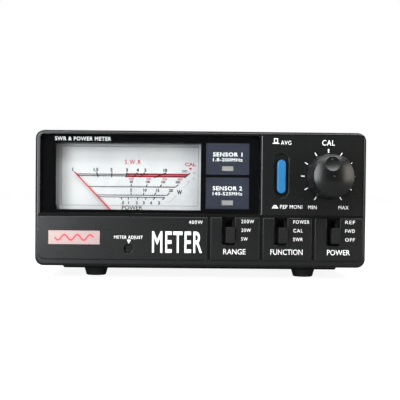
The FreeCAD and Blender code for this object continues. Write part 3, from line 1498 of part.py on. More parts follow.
def make_push_switch():
    """A tall push button with its stem, and the switch that the stem presses."""
    button = new_body("pep_button")
    cap = sketch(button, "front", ("ButtonX", high("ButtonZ"), "-FrontY - ButtonFrontDeep"))
    add_stadium(cap, ("0", "0"), "ButtonWidth", "ButtonHeight")
    pad(button, cap, "ButtonBackDeep - ButtonFrontDeep", against=True)
    cap_front = number(deep("ButtonFrontDeep"))
    fillet(button, "ButtonRound", lambda edge, at: near(at.y, cap_front))
    stem = sketch(button, "front", ("ButtonX", high("ButtonZ"), "-FrontY - ButtonBackDeep"))
    half = "StemSide / 2"
    add_rectangle(stem, f"-{half}", half, f"-{half}", half)
    pad(button, stem, "StemBackDeep - ButtonBackDeep", against=True)

    z = high("ButtonZ")
    body = box(("ButtonX - PushSide / 2", "ButtonX + PushSide / 2"),
               (deep("PushFrontDeep"), deep("FrontBoardDeep")),
               (f"{z} - PushSide / 2", f"{z} + PushSide / 2"))
    reach = "(StemSide / 2 + StemGap)"
    room = box((f"ButtonX - {reach}", f"ButtonX + {reach}"),
               (deep("PushFrontDeep - Over"), deep("StemBackDeep + PushTravel + PushSpare")),
               (f"{z} - {reach}", f"{z} + {reach}"))
    node(cut(body, [room]), "push_switch")


def make_slide_switches():
    """Three ribbed slider caps, each with a neck into its own switch body."""
    for step, name in enumerate(("range", "function", "power")):
        middle = f"(SlotMidX + {step} * SlotPitch + CapShift)"
        low = high("CapBottom")
        cap = box((f"{middle} - CapWidth / 2", f"{middle} + CapWidth / 2"),
                  (deep("CapFrontDeep"), deep("CapBackDeep")), (low, f"{low} + CapHeight"))
        front_y = number(deep("CapFrontDeep"))
        cap = rounded(cap, "CapRound", lambda edge, at: near(at.y, front_y))
        grooves = []
        for rib in range(int(value("RibCount"))):
            z = f"({low} + (CapHeight - (RibCount - 1) * RibPitch) / 2 + {rib} * RibPitch - RibGroove / 2)"
            grooves.append(box((f"{middle} - CapWidth / 2 - Over", f"{middle} + CapWidth / 2 + Over"),
                               (deep("CapFrontDeep - Over"), deep("CapFrontDeep + RibDeep")),
                               (z, f"{z} + RibGroove")))
        centre = f"({low} + CapHeight / 2)"
        neck = box((f"{middle} - NeckWidth / 2", f"{middle} + NeckWidth / 2"),
                   (deep("CapBackDeep"), deep("NeckBackDeep")),
                   (f"{centre} - NeckHeight / 2", f"{centre} + NeckHeight / 2"))
        node(fuse([cut(cap, grooves), neck]), name + "_slider")

        slot_mid = f"({centre} + SlideTravel / 2)"
        body = box((f"{middle} - SwitchWidth / 2", f"{middle} + SwitchWidth / 2"),
                   (deep("SwitchFrontDeep"), deep("FrontBoardDeep")),
                   (f"{slot_mid} - SwitchHeight / 2", f"{slot_mid} + SwitchHeight / 2"))
        half = "((NeckHeight + SlideTravel) / 2 + SwitchGap)"
        room = box((f"{middle} - NeckWidth / 2 - SwitchGap", f"{middle} + NeckWidth / 2 + SwitchGap"),
                   (deep("SwitchFrontDeep - Over"), deep("SwitchSlotDeep")),
                   (f"{slot_mid} - {half}", f"{slot_mid} + {half}"))
        node(cut(body, [room]), name + "_switch")


def check_and_write():
    """Stops on any failed object or shape, then writes one STEP file for each sub-part."""
    doc.recompute()
    for item in doc.Objects:
        if "Invalid" in item.State or "Error" in item.State:
            raise RuntimeError(f"{item.Name} ({item.Label}) has failed: {item.State}")
    labels = [item.Label for item in NODES]
    if len(set(labels)) != len(labels):
        raise RuntimeError("two sub-parts share a name")
    for item in NODES:
        if item.Shape.isNull() or not item.Shape.isValid():
            raise RuntimeError(f"{item.Label} has no valid shape")
    os.makedirs("parts", exist_ok=True)
    for item in NODES:
        item.Shape.exportStep(f"parts/{item.Label}.step")
        print(f"{item.Label}: {len(item.Shape.Solids)} solids, {item.Shape.Volume:.1f} mm3")
    print(len(NODES), "sub-parts")


make_front_bezel()
make_window()
make_sensor_plates()
make_badge_plate()
make_top_cover()
make_chassis()
make_back_panel()
make_feet()
make_side_screws()
make_sockets()
make_power_inlet()
make_couplers()
make_meter_housing()
make_magnet_parts()
make_movement()
make_zero_adjuster()
make_meter_bulb()
make_boards()
make_board_parts()
make_ribbon_cable()
make_calibration_control()
make_push_switch()
make_slide_switches()
check_and_write()
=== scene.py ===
import json
import math

import bmesh
import bpy
from mathutils import Matrix, Vector


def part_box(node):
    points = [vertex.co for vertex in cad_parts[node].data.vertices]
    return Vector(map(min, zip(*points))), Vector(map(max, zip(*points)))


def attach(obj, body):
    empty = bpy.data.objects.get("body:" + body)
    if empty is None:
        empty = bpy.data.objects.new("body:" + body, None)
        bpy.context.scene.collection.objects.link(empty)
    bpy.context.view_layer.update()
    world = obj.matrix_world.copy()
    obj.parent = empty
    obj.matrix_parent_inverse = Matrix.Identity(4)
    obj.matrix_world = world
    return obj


# The looks of a desktop SWR and power meter. The CAD frame gives every part its place; this script adds what
# is printed on it, its materials, the light and the camera. Lengths named in MM are millimetres, and all
# others are metres.

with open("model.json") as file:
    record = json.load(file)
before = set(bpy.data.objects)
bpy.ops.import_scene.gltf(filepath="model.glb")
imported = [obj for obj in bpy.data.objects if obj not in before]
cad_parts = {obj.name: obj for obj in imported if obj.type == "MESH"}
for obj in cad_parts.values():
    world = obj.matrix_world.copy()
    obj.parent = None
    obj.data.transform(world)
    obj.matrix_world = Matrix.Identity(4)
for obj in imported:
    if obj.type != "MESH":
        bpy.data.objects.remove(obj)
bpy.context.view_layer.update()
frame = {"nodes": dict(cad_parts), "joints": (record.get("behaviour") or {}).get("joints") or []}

MM = 0.001
NODES = frame["nodes"]
FRONT_LOW, FRONT_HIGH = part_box("front_bezel")
MIDDLE = (FRONT_LOW + FRONT_HIGH) / 2

RIGHT = Vector((1, 0, 0))
UP = Vector((0, 0, 1))


def joint_place(name):
    """Where a joint's axis stands, at rest."""
    return Vector(next(j["pos_m"] for j in frame["joints"] if j["name"] == name))


# ---------------------------------------------------------------- materials

# How far apart the stripes of a wave texture stand when its scale is 1.
WAVE_PERIOD = 0.314
# How many times longer than wide the fine lines in brushed metal are.
BRUSH_STRETCH = 40.0
# How steeply a clear sheet starts to mirror as it turns away.
FACING_POWER = 5.0


def srgb(red, green, blue):
    """A colour given as it shows on a screen, from 0 to 255, as scene light."""
    def linear(channel):
        share = channel / 255
        return share / 12.92 if share < 0.04 else ((share + 0.055) / 1.055) ** 2.4
    return (linear(red), linear(green), linear(blue), 1.0)


class Finish:
    """A material made of one Principled shader, with patterns wired into it."""

    def __init__(self, name, colour, roughness, **sockets):
        self.material = bpy.data.materials.new(name)
        self.material.use_nodes = True
        self.nodes = self.material.node_tree.nodes
        self.links = self.material.node_tree.links
        self.shader = self.nodes["Principled BSDF"]
        self.colour = colour
        self.roughness = roughness
        self.set("Base Color", colour)
        self.set("Roughness", roughness)
        for socket, value in sockets.items():
            self.set(socket.replace("_", " "), value)
        self.normal = None

    def set(self, socket, value):
        """Sets one of the shader's sockets to a plain value."""
        self.shader.inputs[socket].default_value = value

    def node(self, kind, **settings):
        """A new node, whose kind is its type without the "ShaderNode" in front."""
        made = self.nodes.new("ShaderNode" + kind)
        for setting, value in settings.items():
            setattr(made, setting, value)
        return made

    def places(self, size, stretch=(1, 1, 1)):
        """The part's own coordinates, counted in units of a size in millimetres."""
        source = self.node("TexCoord")
        mapping = self.node("Mapping")
        mapping.inputs["Scale"].default_value = [1 / (size * MM * part) for part in stretch]
        self.links.new(source.outputs["Object"], mapping.inputs["Vector"])
        return mapping.outputs["Vector"]

    def noise(self, size, detail, stretch=(1, 1, 1)):
        """Cloudy values from 0 to 1, whose patches have a size in millimetres."""
        texture = self.node("TexNoise")
        texture.inputs["Scale"].default_value = 1.0
        texture.inputs["Detail"].default_value = detail
        self.links.new(self.places(size, stretch), texture.inputs["Vector"])
        return texture.outputs["Fac"]

    def cells(self, size):
        """Distances from the middles of rounded cells of a size in millimetres."""
        texture = self.node("TexVoronoi", feature="F1")
        texture.inputs["Scale"].default_value = 1.0
        self.links.new(self.places(size), texture.inputs["Vector"])
        return texture.outputs["Distance"]

    def bands(self, size, axis):
        """Even stripes across an axis, a size in millimetres apart."""
        texture = self.node("TexWave", bands_direction=axis, wave_profile="SIN")
        texture.inputs["Scale"].default_value = WAVE_PERIOD
        self.links.new(self.places(size), texture.inputs["Vector"])
        return texture.outputs["Fac"]

    def ramp(self, fac, stops):
        """Colours at shares of a value, blended between."""
        made = self.node("ValToRGB")
        elements = made.color_ramp.elements
        while len(elements) < len(stops):
            elements.new(0.5)
        for element, (share, colour) in zip(elements, stops):
            element.position = share
            element.color = colour
        self.links.new(fac, made.inputs["Fac"])
        return made.outputs["Color"]

    def paint(self, fac, stops):
        """Colours the surface by a value."""
        self.links.new(self.ramp(fac, stops), self.shader.inputs["Base Color"])
        return self

    def mottled(self, size, spread):
        """Lets the colour drift lighter and darker by a share of itself."""
        dark, light = (tuple(c * (1 + side * spread) for c in self.colour[:3]) + (1.0,) for side in (-1, 1))
        return self.paint(self.noise(size, 3.0), [(0.3, dark), (0.7, light)])

    def uneven(self, size, spread, stretch=(1, 1, 1)):
        """Lets the roughness drift."""
        drift = self.node("MapRange")
        drift.inputs["To Min"].default_value = max(0.02, self.roughness - spread)
        drift.inputs["To Max"].default_value = min(1.0, self.roughness + spread)
        self.links.new(self.noise(size, 3.0, stretch), drift.inputs["Value"])
        self.links.new(drift.outputs["Result"], self.shader.inputs["Roughness"])
        return self

    def frontal(self):
        """How far the surface faces the front: 1 where it does, 0 where it is square to that or beyond."""
        source = self.node("TexCoord")
        parts = self.node("SeparateXYZ")
        self.links.new(source.outputs["Normal"], parts.inputs["Vector"])
        flipped = self.node("MapRange")
        flipped.inputs["From Min"].default_value = 0.0
        flipped.inputs["From Max"].default_value = -1.0
        self.links.new(parts.outputs["Y"], flipped.inputs["Value"])
        return flipped.outputs["Result"]

    def raised(self, height, depth):
        """Raises the surface by a pattern, up to a depth in millimetres, on top of what it has."""
        bump = self.node("Bump")
        bump.inputs["Distance"].default_value = depth * MM
        self.links.new(height, bump.inputs["Height"])
        if self.normal:
            self.links.new(self.normal, bump.inputs["Normal"])
        self.normal = bump.outputs["Normal"]
        self.links.new(self.normal, self.shader.inputs["Normal"])
        return self


def moulded(name, colour, roughness, grain=0.35, depth=0.012, **sockets):
    """Moulded plastic with a spark-eroded grain."""
    made = Finish(name, colour, roughness, **sockets)
    made.mottled(6.0, 0.08).uneven(2.5, 0.02)
    return made.raised(made.noise(grain, 1.0), depth).raised(made.noise(14.0, 1.0), 0.02)


def smooth_plastic(name, colour, roughness, **sockets):
    """Polished plastic with a faint ripple and fine dust."""
    made = Finish(name, colour, roughness, **sockets)
    made.mottled(9.0, 0.06).uneven(1.2, 0.04)
    return made.raised(made.noise(5.0, 1.0), 0.004)


def brushed(name, colour, roughness, along, metallic=1.0):
    """Metal with fine lines drawn along one axis."""
    made = Finish(name, colour, roughness, Metallic=metallic)
    stretch = [BRUSH_STRETCH if axis == along else 1.0 for axis in "XYZ"]
    lines = made.noise(0.12, 2.0, stretch)
    dark, light = (tuple(c * k for c in colour[:3]) + (1.0,) for k in (0.88, 1.0))
    made.paint(lines, [(0.3, dark), (0.7, light)])
    made.uneven(0.3, 0.07, stretch)
    return made.raised(lines, 0.006)


def plated(name, colour, roughness):
    """Plated or plain metal, with handling marks."""
    made = Finish(name, colour, roughness, Metallic=1.0)
    made.mottled(3.0, 0.08).uneven(0.8, 0.08)
    return made.raised(made.noise(0.6, 3.0), 0.003)


def painted_steel(name, colour, roughness):
    """Baked paint with a fine orange peel over rolled steel."""
    made = Finish(name, colour, roughness, Specular_IOR_Level=0.35)
    made.mottled(10.0, 0.08).uneven(4.0, 0.06)
    made.raised(made.cells(0.7), 0.02)
    return made.raised(made.noise(0.25, 2.0), 0.01)


def ink(name, colour):
    """Screen-printed ink, slightly uneven in cover."""
    made = Finish(name, colour, 0.5)
    made.mottled(0.4, 0.03).uneven(0.5, 0.08)
    return made.raised(made.noise(0.08, 2.0), 0.002)


def clear(name, tint, mirror, roughness):
    """Clear plastic: what is behind it shows, and it mirrors more as it turns away."""
    made = Finish(name, tint, roughness)
    surface = made.node("BsdfTransparent")
    surface.inputs["Color"].default_value = tint
    shine = made.node("BsdfGlossy")
    shine.inputs["Roughness"].default_value = roughness
    facing = made.node("LayerWeight")
    facing.inputs["Blend"].default_value = 0.5
    glancing = made.node("Math", operation="POWER")
    glancing.inputs[1].default_value = FACING_POWER
    made.links.new(facing.outputs["Facing"], glancing.inputs[0])
    share = made.node("MapRange")
    share.inputs["To Min"].default_value = mirror
    made.links.new(glancing.outputs["Value"], share.inputs["Value"])
    ripple = made.node("Bump")
    ripple.inputs["Distance"].default_value = 0.004 * MM
    made.links.new(made.noise(9.0, 1.0), ripple.inputs["Height"])
    made.links.new(ripple.outputs["Normal"], shine.inputs["Normal"])
    mix = made.node("MixShader")
    made.links.new(share.outputs["Result"], mix.inputs["Fac"])
    made.links.new(surface.outputs["BSDF"], mix.inputs[1])
    made.links.new(shine.outputs["BSDF"], mix.inputs[2])
    made.links.new(mix.outputs["Shader"], made.nodes["Material Output"].inputs["Surface"])
    made.nodes.remove(made.shader)
    return made


def wound_copper():
    """Enamelled wire laid side by side, its colour painted darker between the turns as shade."""
    made = Finish("coil_wire", srgb(150, 74, 38), 0.35, Metallic=0.8)
    wires = made.bands(0.12, "Y")
    return made.paint(wires, [(0.2, srgb(90, 40, 22)), (0.7, srgb(176, 92, 50))]).raised(wires, 0.03)


def circuit_board(name):
    """Green solder resist over a pattern of copper tracks."""
    made = Finish(name, srgb(22, 84, 48), 0.38, Coat_Weight=0.3, Coat_Roughness=0.2)
    texture = made.node("TexBrick")
    for socket, value in (("Scale", 1.0), ("Mortar Size", 0.1), ("Brick Width", 4.0), ("Row Height", 1.27)):
        texture.inputs[socket].default_value = value
    texture.inputs["Color1"].default_value = srgb(18, 74, 42)
    texture.inputs["Color2"].default_value = srgb(24, 88, 50)
    texture.inputs["Mortar"].default_value = srgb(52, 122, 66)
    made.links.new(made.places(1.0), texture.inputs["Vector"])
    made.links.new(texture.outputs["Color"], made.shader.inputs["Base Color"])
    made.uneven(3.0, 0.06)
    return made.raised(texture.outputs["Fac"], 0.03)


def ribbon():
    """Grey ribbon cable with a groove between its wires, its colour painted darker in each groove as shade.
    """
    made = Finish("ribbon_grey", srgb(150, 152, 156), 0.5)
    wires = made.bands(1.27, "X")
    return made.paint(wires, [(0.0, srgb(112, 114, 118)), (0.5, srgb(158, 160, 164))]).raised(wires, 0.3)


def tinted_button():
    """Sky-blue plastic with painted shade: its colour goes darker where it turns away from the front."""
    made = smooth_plastic("button_blue", srgb(40, 142, 208), 0.3)
    # Painted shade: deep blue on the rounded sides, lighter blue only where the button faces the front.
    return made.paint(made.frontal(), [(0.0, srgb(6, 40, 74)), (0.82, srgb(12, 70, 120)),
                                       (0.98, srgb(30, 108, 158))])


def turned_knob():
    """Black plastic, polished on the face of the knob and matt on its side."""
    made = Finish("knob_black", srgb(9, 10, 10), 0.27, Specular_IOR_Level=0.4)
    made.mottled(9.0, 0.06)
    matt, polished = (0.5, 0.5, 0.5, 1.0), (0.25, 0.25, 0.25, 1.0)
    gloss = made.ramp(made.frontal(), [(0.5, matt), (0.8, polished)])
    made.links.new(gloss, made.shader.inputs["Roughness"])
    return made.raised(made.noise(4.0, 1.0), 0.003)


def threaded():
    """Nickel with the turns of a 24-to-the-inch thread around the front-to-back axis."""
    made = plated("socket_thread", srgb(206, 204, 196), 0.26)
    return made.raised(made.bands(1.058, "Y"), 0.5)


def knurled(name, colour, roughness):
    """Plated metal with fine slanting grooves."""
    made = plated(name, colour, roughness)
    return made.raised(made.bands(0.5, "DIAGONAL"), 0.05)


MATERIALS = {
    "front": moulded("front_plastic", srgb(13, 14, 14), 0.28, 0.45, 0.002),
    "pane": clear("window_clear", (0.97, 0.98, 0.98, 1.0), 0.035, 0.03),
    "meter_clear": clear("meter_clear", (0.985, 0.985, 0.985, 1.0), 0.02, 0.05),
    # Painted shade: the dark, matt inside of the strip's grooves, slots and holes.
    "recess": moulded("front_recess", srgb(7, 7, 7), 0.6, Specular_IOR_Level=0.1),
    "gloss_black": smooth_plastic("gloss_black", srgb(12, 12, 13), 0.5, Specular_IOR_Level=0.0),
    "slate": moulded("slate_print", srgb(54, 58, 68), 0.5, 0.3, 0.006, Specular_IOR_Level=0.0),
    "lamp": smooth_plastic("lamp_lens", srgb(150, 150, 149), 0.25),
    "badge": brushed("badge_silver", srgb(190, 166, 163), 0.38, "X", 0.6),
    "case": painted_steel("case_paint", srgb(30, 31, 32), 0.55),
    "rubber": moulded("foot_rubber", srgb(26, 26, 27), 0.75, 0.2, 0.02),
    "steel": plated("screw_steel", srgb(196, 196, 192), 0.32),
    "black_steel": plated("black_screw", srgb(46, 46, 48), 0.42),
    "nickel": plated("socket_nickel", srgb(206, 204, 196), 0.24),
    "thread": threaded(),
    "ptfe": smooth_plastic("socket_insulation", srgb(226, 222, 208), 0.4),
    "contact": plated("contact_metal", srgb(214, 182, 108), 0.22),
    "inlet": moulded("inlet_plastic", srgb(24, 24, 25), 0.4),
    "tin": brushed("coupler_tin", srgb(178, 180, 180), 0.38, "X"),
    "copper": plated("line_copper", srgb(206, 130, 92), 0.28),
    "meter_grey": moulded("meter_grey", srgb(186, 188, 190), 0.45),
    "scale": smooth_plastic("scale_white", srgb(229, 227, 228), 0.5),
    "iron": brushed("magnet_iron", srgb(120, 120, 122), 0.45, "Y"),
    "brass": plated("bridge_brass", srgb(206, 170, 96), 0.3),
    "needle": smooth_plastic("needle_red", srgb(226, 40, 50), 0.4),
    "coil": wound_copper(),
    "bulb": clear("bulb_glass", (0.95, 0.95, 0.92, 1.0), 0.04, 0.02),
    "board": circuit_board("board_green"),
    "chip": moulded("chip_black", srgb(28, 28, 30), 0.5, 0.15),
    "can": smooth_plastic("can_sleeve", srgb(28, 36, 78), 0.3),
    "trimmer": smooth_plastic("trimmer_blue", srgb(32, 84, 168), 0.35),
    "ribbon": ribbon(),
    "control": knurled("control_zinc", srgb(184, 182, 172), 0.35),
    "switch": moulded("switch_black", srgb(30, 30, 31), 0.45),
    "knob": turned_knob(),
    "slider": moulded("slider_black", srgb(22, 22, 23), 0.38, 0.2, 0.008, Specular_IOR_Level=0.4),
    "button": tinted_button(),
    "white_ink": ink("white_ink", srgb(248, 248, 248)),
    "black_ink": ink("black_ink", srgb(17, 17, 20)),
    "grey_ink": ink("grey_ink", srgb(140, 140, 146)),
    # Painted shade that the meter's cover casts on the scale plate.
    "pale_ink": ink("pale_ink", srgb(196, 197, 199)),
    "red_ink": ink("red_ink", srgb(214, 44, 66)),
    "pink_ink": ink("pink_ink", srgb(226, 130, 146)),
}

CAD_FINISHES = {
    "front": ["front_bezel"],
    "pane": ["window_pane"],
    "meter_clear": ["meter_cover"],
    "gloss_black": ["window_mask"],
    "slate": ["sensor_1_plate", "sensor_2_plate"],
    "lamp": ["sensor_1_lamp", "sensor_2_lamp"],
    "badge": ["badge_plate"],
    "case": ["top_cover", "chassis", "back_panel"],
    "rubber": ["foot_front_left", "foot_front_right", "foot_back_left", "foot_back_right"],
    "steel": ["foot_screws", "socket_screws"],
    "black_steel": ["cover_screws", "zero_adjust_screw"],
    "nickel": ["socket_1_antenna", "socket_1_radio", "socket_2_radio", "socket_2_antenna"],
    "ptfe": ["socket_insulators"],
    "contact": ["socket_contacts", "power_inlet_contacts"],
    "inlet": ["power_inlet"],
    "tin": ["coupler_trays", "coupler_lids"],
    "copper": ["through_lines"],
    "meter_grey": ["meter_case"],
    "scale": ["scale_plate"],
    "iron": ["meter_magnet", "meter_yoke"],
    "brass": ["meter_bridge", "board_spacers", "zero_lever", "hairspring"],
    "needle": ["needle"],
    "coil": ["moving_coil"],
    "bulb": ["meter_bulb"],
    "board": ["front_board", "main_board"],
    "chip": ["chips"],
    "can": ["capacitors"],
    "trimmer": ["trimmers"],
    "ribbon": ["ribbon_cable"],
    "control": ["cal_control", "cal_nut", "cal_shaft"],
    "switch": ["push_switch", "range_switch", "function_switch", "power_switch"],
    "knob": ["cal_knob"],
    "slider": ["range_slider", "function_slider", "power_slider"],
    "button": ["pep_button"],
}


# Where the painted shade goes on the raised strip, measured from pieces that stand on it.
STRIP_BELOW_SLIDERS = 6.0 * MM
STRIP_OVER_BADGE = 8.0 * MM
STRIP_FROM_SIDE = 2.5 * MM
RECESS_DEPTH = 0.35 * MM

# How far behind the back panel a socket's flange ends, and how straight its barrel is.
FLANGE_BACK = 3.4 * MM
BARREL_SLOPE = 0.1


def dress_cad_nodes():
    """Gives every piece that is carried over from the CAD its material."""
    for finish, names in CAD_FINISHES.items():
        for name in names:
            mesh = NODES[name].data
            mesh.materials.clear()
            mesh.materials.append(MATERIALS[finish].material)


def dress_recesses():
    """Paints shade into the grooves, slots and holes in the raised strip: they are matt, and coloured dark
    inside as shade.
    """
    mesh = NODES["front_bezel"].data
    mesh.materials.append(MATERIALS["recess"].material)
    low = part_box("range_slider")[0].z - STRIP_BELOW_SLIDERS
    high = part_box("badge_plate")[1].z + STRIP_OVER_BADGE
    side = FRONT_HIGH.x - STRIP_FROM_SIDE
    for face in mesh.polygons:
        on_strip = low < face.center.z < high and abs(face.center.x) < side
        # Faces sunk behind the strip's front get the painted shade.
        if on_strip and face.center.y > FRONT_LOW.y + RECESS_DEPTH:
            face.material_index = 1


def dress_socket_threads():
    """The barrels of the sockets, behind their flanges, are threaded."""
    flange_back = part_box("back_panel")[1].y + FLANGE_BACK
    for name in CAD_FINISHES["nickel"]:
        mesh = NODES[name].data
        mesh.materials.append(MATERIALS["thread"].material)
        for face in mesh.polygons:
            if face.center.y > flange_back and abs(face.normal.y) < BARREL_SLOPE:
                face.material_index = 1


# ---------------------------------------------------------------- printing

INK_THICK = 0.04 * MM
INK_GAP = 0.01 * MM
# Corners of the print that are nearer than this are one.
INK_MERGE = 0.002 * MM
# How tall the built-in font's capitals are when its size is 1.
FONT_CAP = 0.69
# The least cosine that the reach of a mitred corner is divided by, so that a sharp corner has no spike.
MITRE_LIMIT = 0.3
BOLD_MITRE_LIMIT = 0.6


def embolden(letters, reach):
    """Moves the outline of flat letters outward. A text curve's own offset would fill M and 4 wrongly."""
    shapes = bmesh.new()
    shapes.from_mesh(letters)
    outward = {}
    for edge in shapes.edges:
        if edge.is_boundary:
            start, end = (vertex.co for vertex in edge.verts)
            along = (end - start).normalized()
            across = Vector((along.y, -along.x, 0.0))
            if across.dot(edge.link_faces[0].calc_center_median() - start) > 0:
                across.negate()
            for vertex in edge.verts:
                outward.setdefault(vertex, []).append(across)
    for vertex, sides in outward.items():
        total = sum(sides, Vector())
        vertex.co += total * (reach / max(BOLD_MITRE_LIMIT, total.dot(sides[0])))
    shapes.to_mesh(letters)
    shapes.free()


class Print:
    """Ink on a flat face, drawn in millimetres to the right and up from an origin on that face."""

    def __init__(self, origin, right=RIGHT):
        self.shapes = bmesh.new()
        self.out = right.cross(UP)
        self.place = Matrix((right, UP, self.out)).transposed().to_4x4()
        self.place.translation = Vector(origin) + self.out * INK_GAP

    def corner(self, x, z):
        return self.shapes.verts.new(self.place @ Vector((x * MM, z * MM, 0)))

    def polygon(self, points):
        self.shapes.faces.new([self.corner(x, z) for x, z in points])

    def stroke(self, points, width, closed=False):
        """A line of even width through points, with mitred corners."""
        places = [Vector(p) for p in points]
        count = len(places)
        sides = []
        for index, here in enumerate(places):
            before = places[index - 1] if index or closed else here * 2 - places[1]
            last = index + 1 == count and not closed
            after = here * 2 - places[-2] if last else places[(index + 1) % count]
            lead, follow = (here - before).normalized(), (after - here).normalized()
            along = (lead + follow).normalized()
            across = Vector((-along.y, along.x))
            reach = width / 2 / max(MITRE_LIMIT, across.dot(Vector((-lead.y, lead.x))))
            sides.append([self.corner(*(here + across * reach * side)) for side in (-1, 1)])
        for index in range(count if closed else count - 1):
            (a, b), (c, d) = sides[index], sides[(index + 1) % count]
            self.shapes.faces.new((a, c, d, b))

    def text(self, words, centre, cap, width=None, bold=0.0, spread=1.0):
        """Words around a point, with capitals of a height, and squeezed to a width if one is given.

        Bold is in units of the font's size. Spread is the share of the usual space between letters.
        """
        curve = bpy.data.curves.new("words", "FONT")
        curve.body = words
        curve.resolution_u = 3
        curve.fill_mode = "FRONT"
        curve.space_character = spread
        carrier = bpy.data.objects.new("words", curve)
        letters = bpy.data.meshes.new_from_object(carrier)
        bpy.data.objects.remove(carrier)
        if bold:
            embolden(letters, bold)
        left, right = (limit(v.co.x for v in letters.vertices) for limit in (min, max))
        tall = cap * MM / FONT_CAP
        wide = tall if width is None else width * MM / (right - left)
        shift = Matrix.Translation((-(left + right) / 2, -FONT_CAP / 2, 0))
        size = Matrix.Diagonal((wide, tall, 1, 1))
        letters.transform(Matrix.Translation((centre[0] * MM, centre[1] * MM, 0)) @ size @ shift)
        letters.transform(self.place)
        self.shapes.from_mesh(letters)
        bpy.data.meshes.remove(letters)

    def finish(self, name, finish, body="case"):
        """Makes the piece, as a thin skin of ink, and lets it ride on a body."""
        bmesh.ops.remove_doubles(self.shapes, verts=self.shapes.verts, dist=INK_MERGE)
        self.shapes.normal_update()
        for face in self.shapes.faces:
            face.smooth = False
            if face.normal.dot(self.out) < 0:
                face.normal_flip()
        mesh = bpy.data.meshes.new(name)
        self.shapes.to_mesh(mesh)
        self.shapes.free()
        mesh.materials.append(MATERIALS[finish].material)
        piece = bpy.data.objects.new(name, mesh)
        bpy.context.scene.collection.objects.link(piece)
        skin = piece.modifiers.new("ink", "SOLIDIFY")
        skin.thickness = INK_THICK
        skin.offset = 1.0
        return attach(piece, body)


def front_origin(node):
    """The middle of the moulding's front, on a node's foremost face."""
    return Vector((MIDDLE.x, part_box(node)[0].y, MIDDLE.z))


# Each slide switch's name, how wide that is, and the words beside its slot, from the top down.
SWITCHES = (
    ("RANGE", 10.4, ("200W", "20W", "5W")),
    ("FUNCTION", 15.1, ("POWER", "CAL", "SWR")),
    ("POWER", 10.7, ("REF", "FWD", "OFF")),
)
# Where the middles of the slots and the words around them stand, in millimetres.
FIRST_SLOT, SLOT_PITCH = 15.9, 24.4
SWITCH_NAME_Z = -24.5
PLACES_LEFT, TOP_PLACE_Z, PLACE_PITCH = 3.1, -10.3, 4.1
PLACE_LETTER = 1.5


def print_strip():
    """White words on the raised strip: the switches' names and places, and the zero adjuster's mark."""
    sheet = Print(front_origin("front_bezel"))
    for index, (name, width, places) in enumerate(SWITCHES):
        slot_x = FIRST_SLOT + index * SLOT_PITCH
        sheet.text(name, (slot_x, SWITCH_NAME_Z), 2.5, width)
        for row, word in enumerate(places):
            wide = PLACE_LETTER * len(word)
            middle = (slot_x + PLACES_LEFT + wide / 2, TOP_PLACE_Z - PLACE_PITCH * row)
            sheet.text(word, middle, 1.6, wide, spread=1.2)
    sheet.text("400W", (-2.35, -10.85), 1.6, 6.5, spread=1.2)
    sheet.text("METER", (-11.0, -20.2), 9.7, 23.4, bold=0.016, spread=1.14)
    sheet.text("METER ADJUST", (-33.75, -18.15), 1.4, 13.4, bold=0.01, spread=1.12)
    sheet.polygon([(-34.55, -19.3), (-33.55, -21.2), (-32.55, -19.3)])
    sheet.finish("strip_lettering", "white_ink")


# The panel beside the window lies this far behind the front of the strip.
PANEL_BACK = 1.1 * MM
# The marks around the knob: angles from upright in degrees, reach and width in millimetres.
MARK_COUNT = 11
FIRST_MARK, MARK_STEP = -150, 30
MARK_INNER, MARK_OUTER = 11.1, 12.8
MARK_WIDTH, TOP_MARK_WIDTH = 0.38, 0.6


def print_panel():
    """White words, button symbols and knob marks on the right of the front."""
    origin = front_origin("front_bezel")
    origin.y += PANEL_BACK
    sheet = Print(origin)
    sheet.text("AVG", (39.7, 26.8), 1.9, 4.9, spread=1.1)
    sheet.text("CAL", (59.65, 26.95), 2.5, 6.0, bold=0.006, spread=1.1)
    sheet.text("PEP MONI", (42.4, -3.3), 1.7, 10.4, spread=1.12)
    sheet.text("MIN", (52.4, -3.4), 1.65, 4.0, spread=1.12)
    sheet.text("MAX", (67.05, -3.4), 1.65, 4.8, spread=1.12)
    sheet.stroke([(33.4, 26.4), (36.5, 26.4)], 0.35)
    sheet.stroke([(34.2, 26.75), (34.2, 28.6), (35.7, 28.6), (35.7, 26.75)], 0.4, closed=True)
    sheet.stroke([(33.4, -3.9), (36.3, -3.9)], 0.35)
    sheet.stroke([(34.0, -3.5), (34.3, -2.8), (35.4, -2.8), (35.7, -3.5)], 0.4, closed=True)
    sheet.finish("panel_lettering", "white_ink")

    knob = joint_place("cal_turn")
    marks = Print(Vector((knob.x, origin.y, knob.z)))
    for step in range(MARK_COUNT):
        angle = math.radians(FIRST_MARK + MARK_STEP * step)
        outward = Vector((math.sin(angle), math.cos(angle)))
        width = TOP_MARK_WIDTH if step == MARK_COUNT // 2 else MARK_WIDTH
        marks.stroke([outward * MARK_INNER, outward * MARK_OUTER], width)
    marks.finish("knob_marks", "white_ink")


def print_window():
    """White words behind the window, on the black print and on the sensor plates."""
    sheet = Print(front_origin("window_mask"))
    sheet.text("SWR & POWER METER", (-55.7, 27.9), 1.75, 26.4, bold=0.026, spread=1.14)
    for number, band, z in ((1, "1.8-200MHz", 21.1), (2, "140-525MHz", 5.1)):
        sheet.text(f"SENSOR {number}", (12.5, z), 1.8, 13.9, bold=0.028, spread=1.14)
        sheet.text(band, (12.55, z - 2.5), 1.5, 14.0, bold=0.02, spread=1.12)
    sheet.finish("window_lettering", "white_ink")


# The line on the badge, in millimetres.
WAVE_STEP = 0.5
WAVE_STEPS = 18
WAVE_HEIGHT = 1.3
WAVE_LENGTH = 6.0


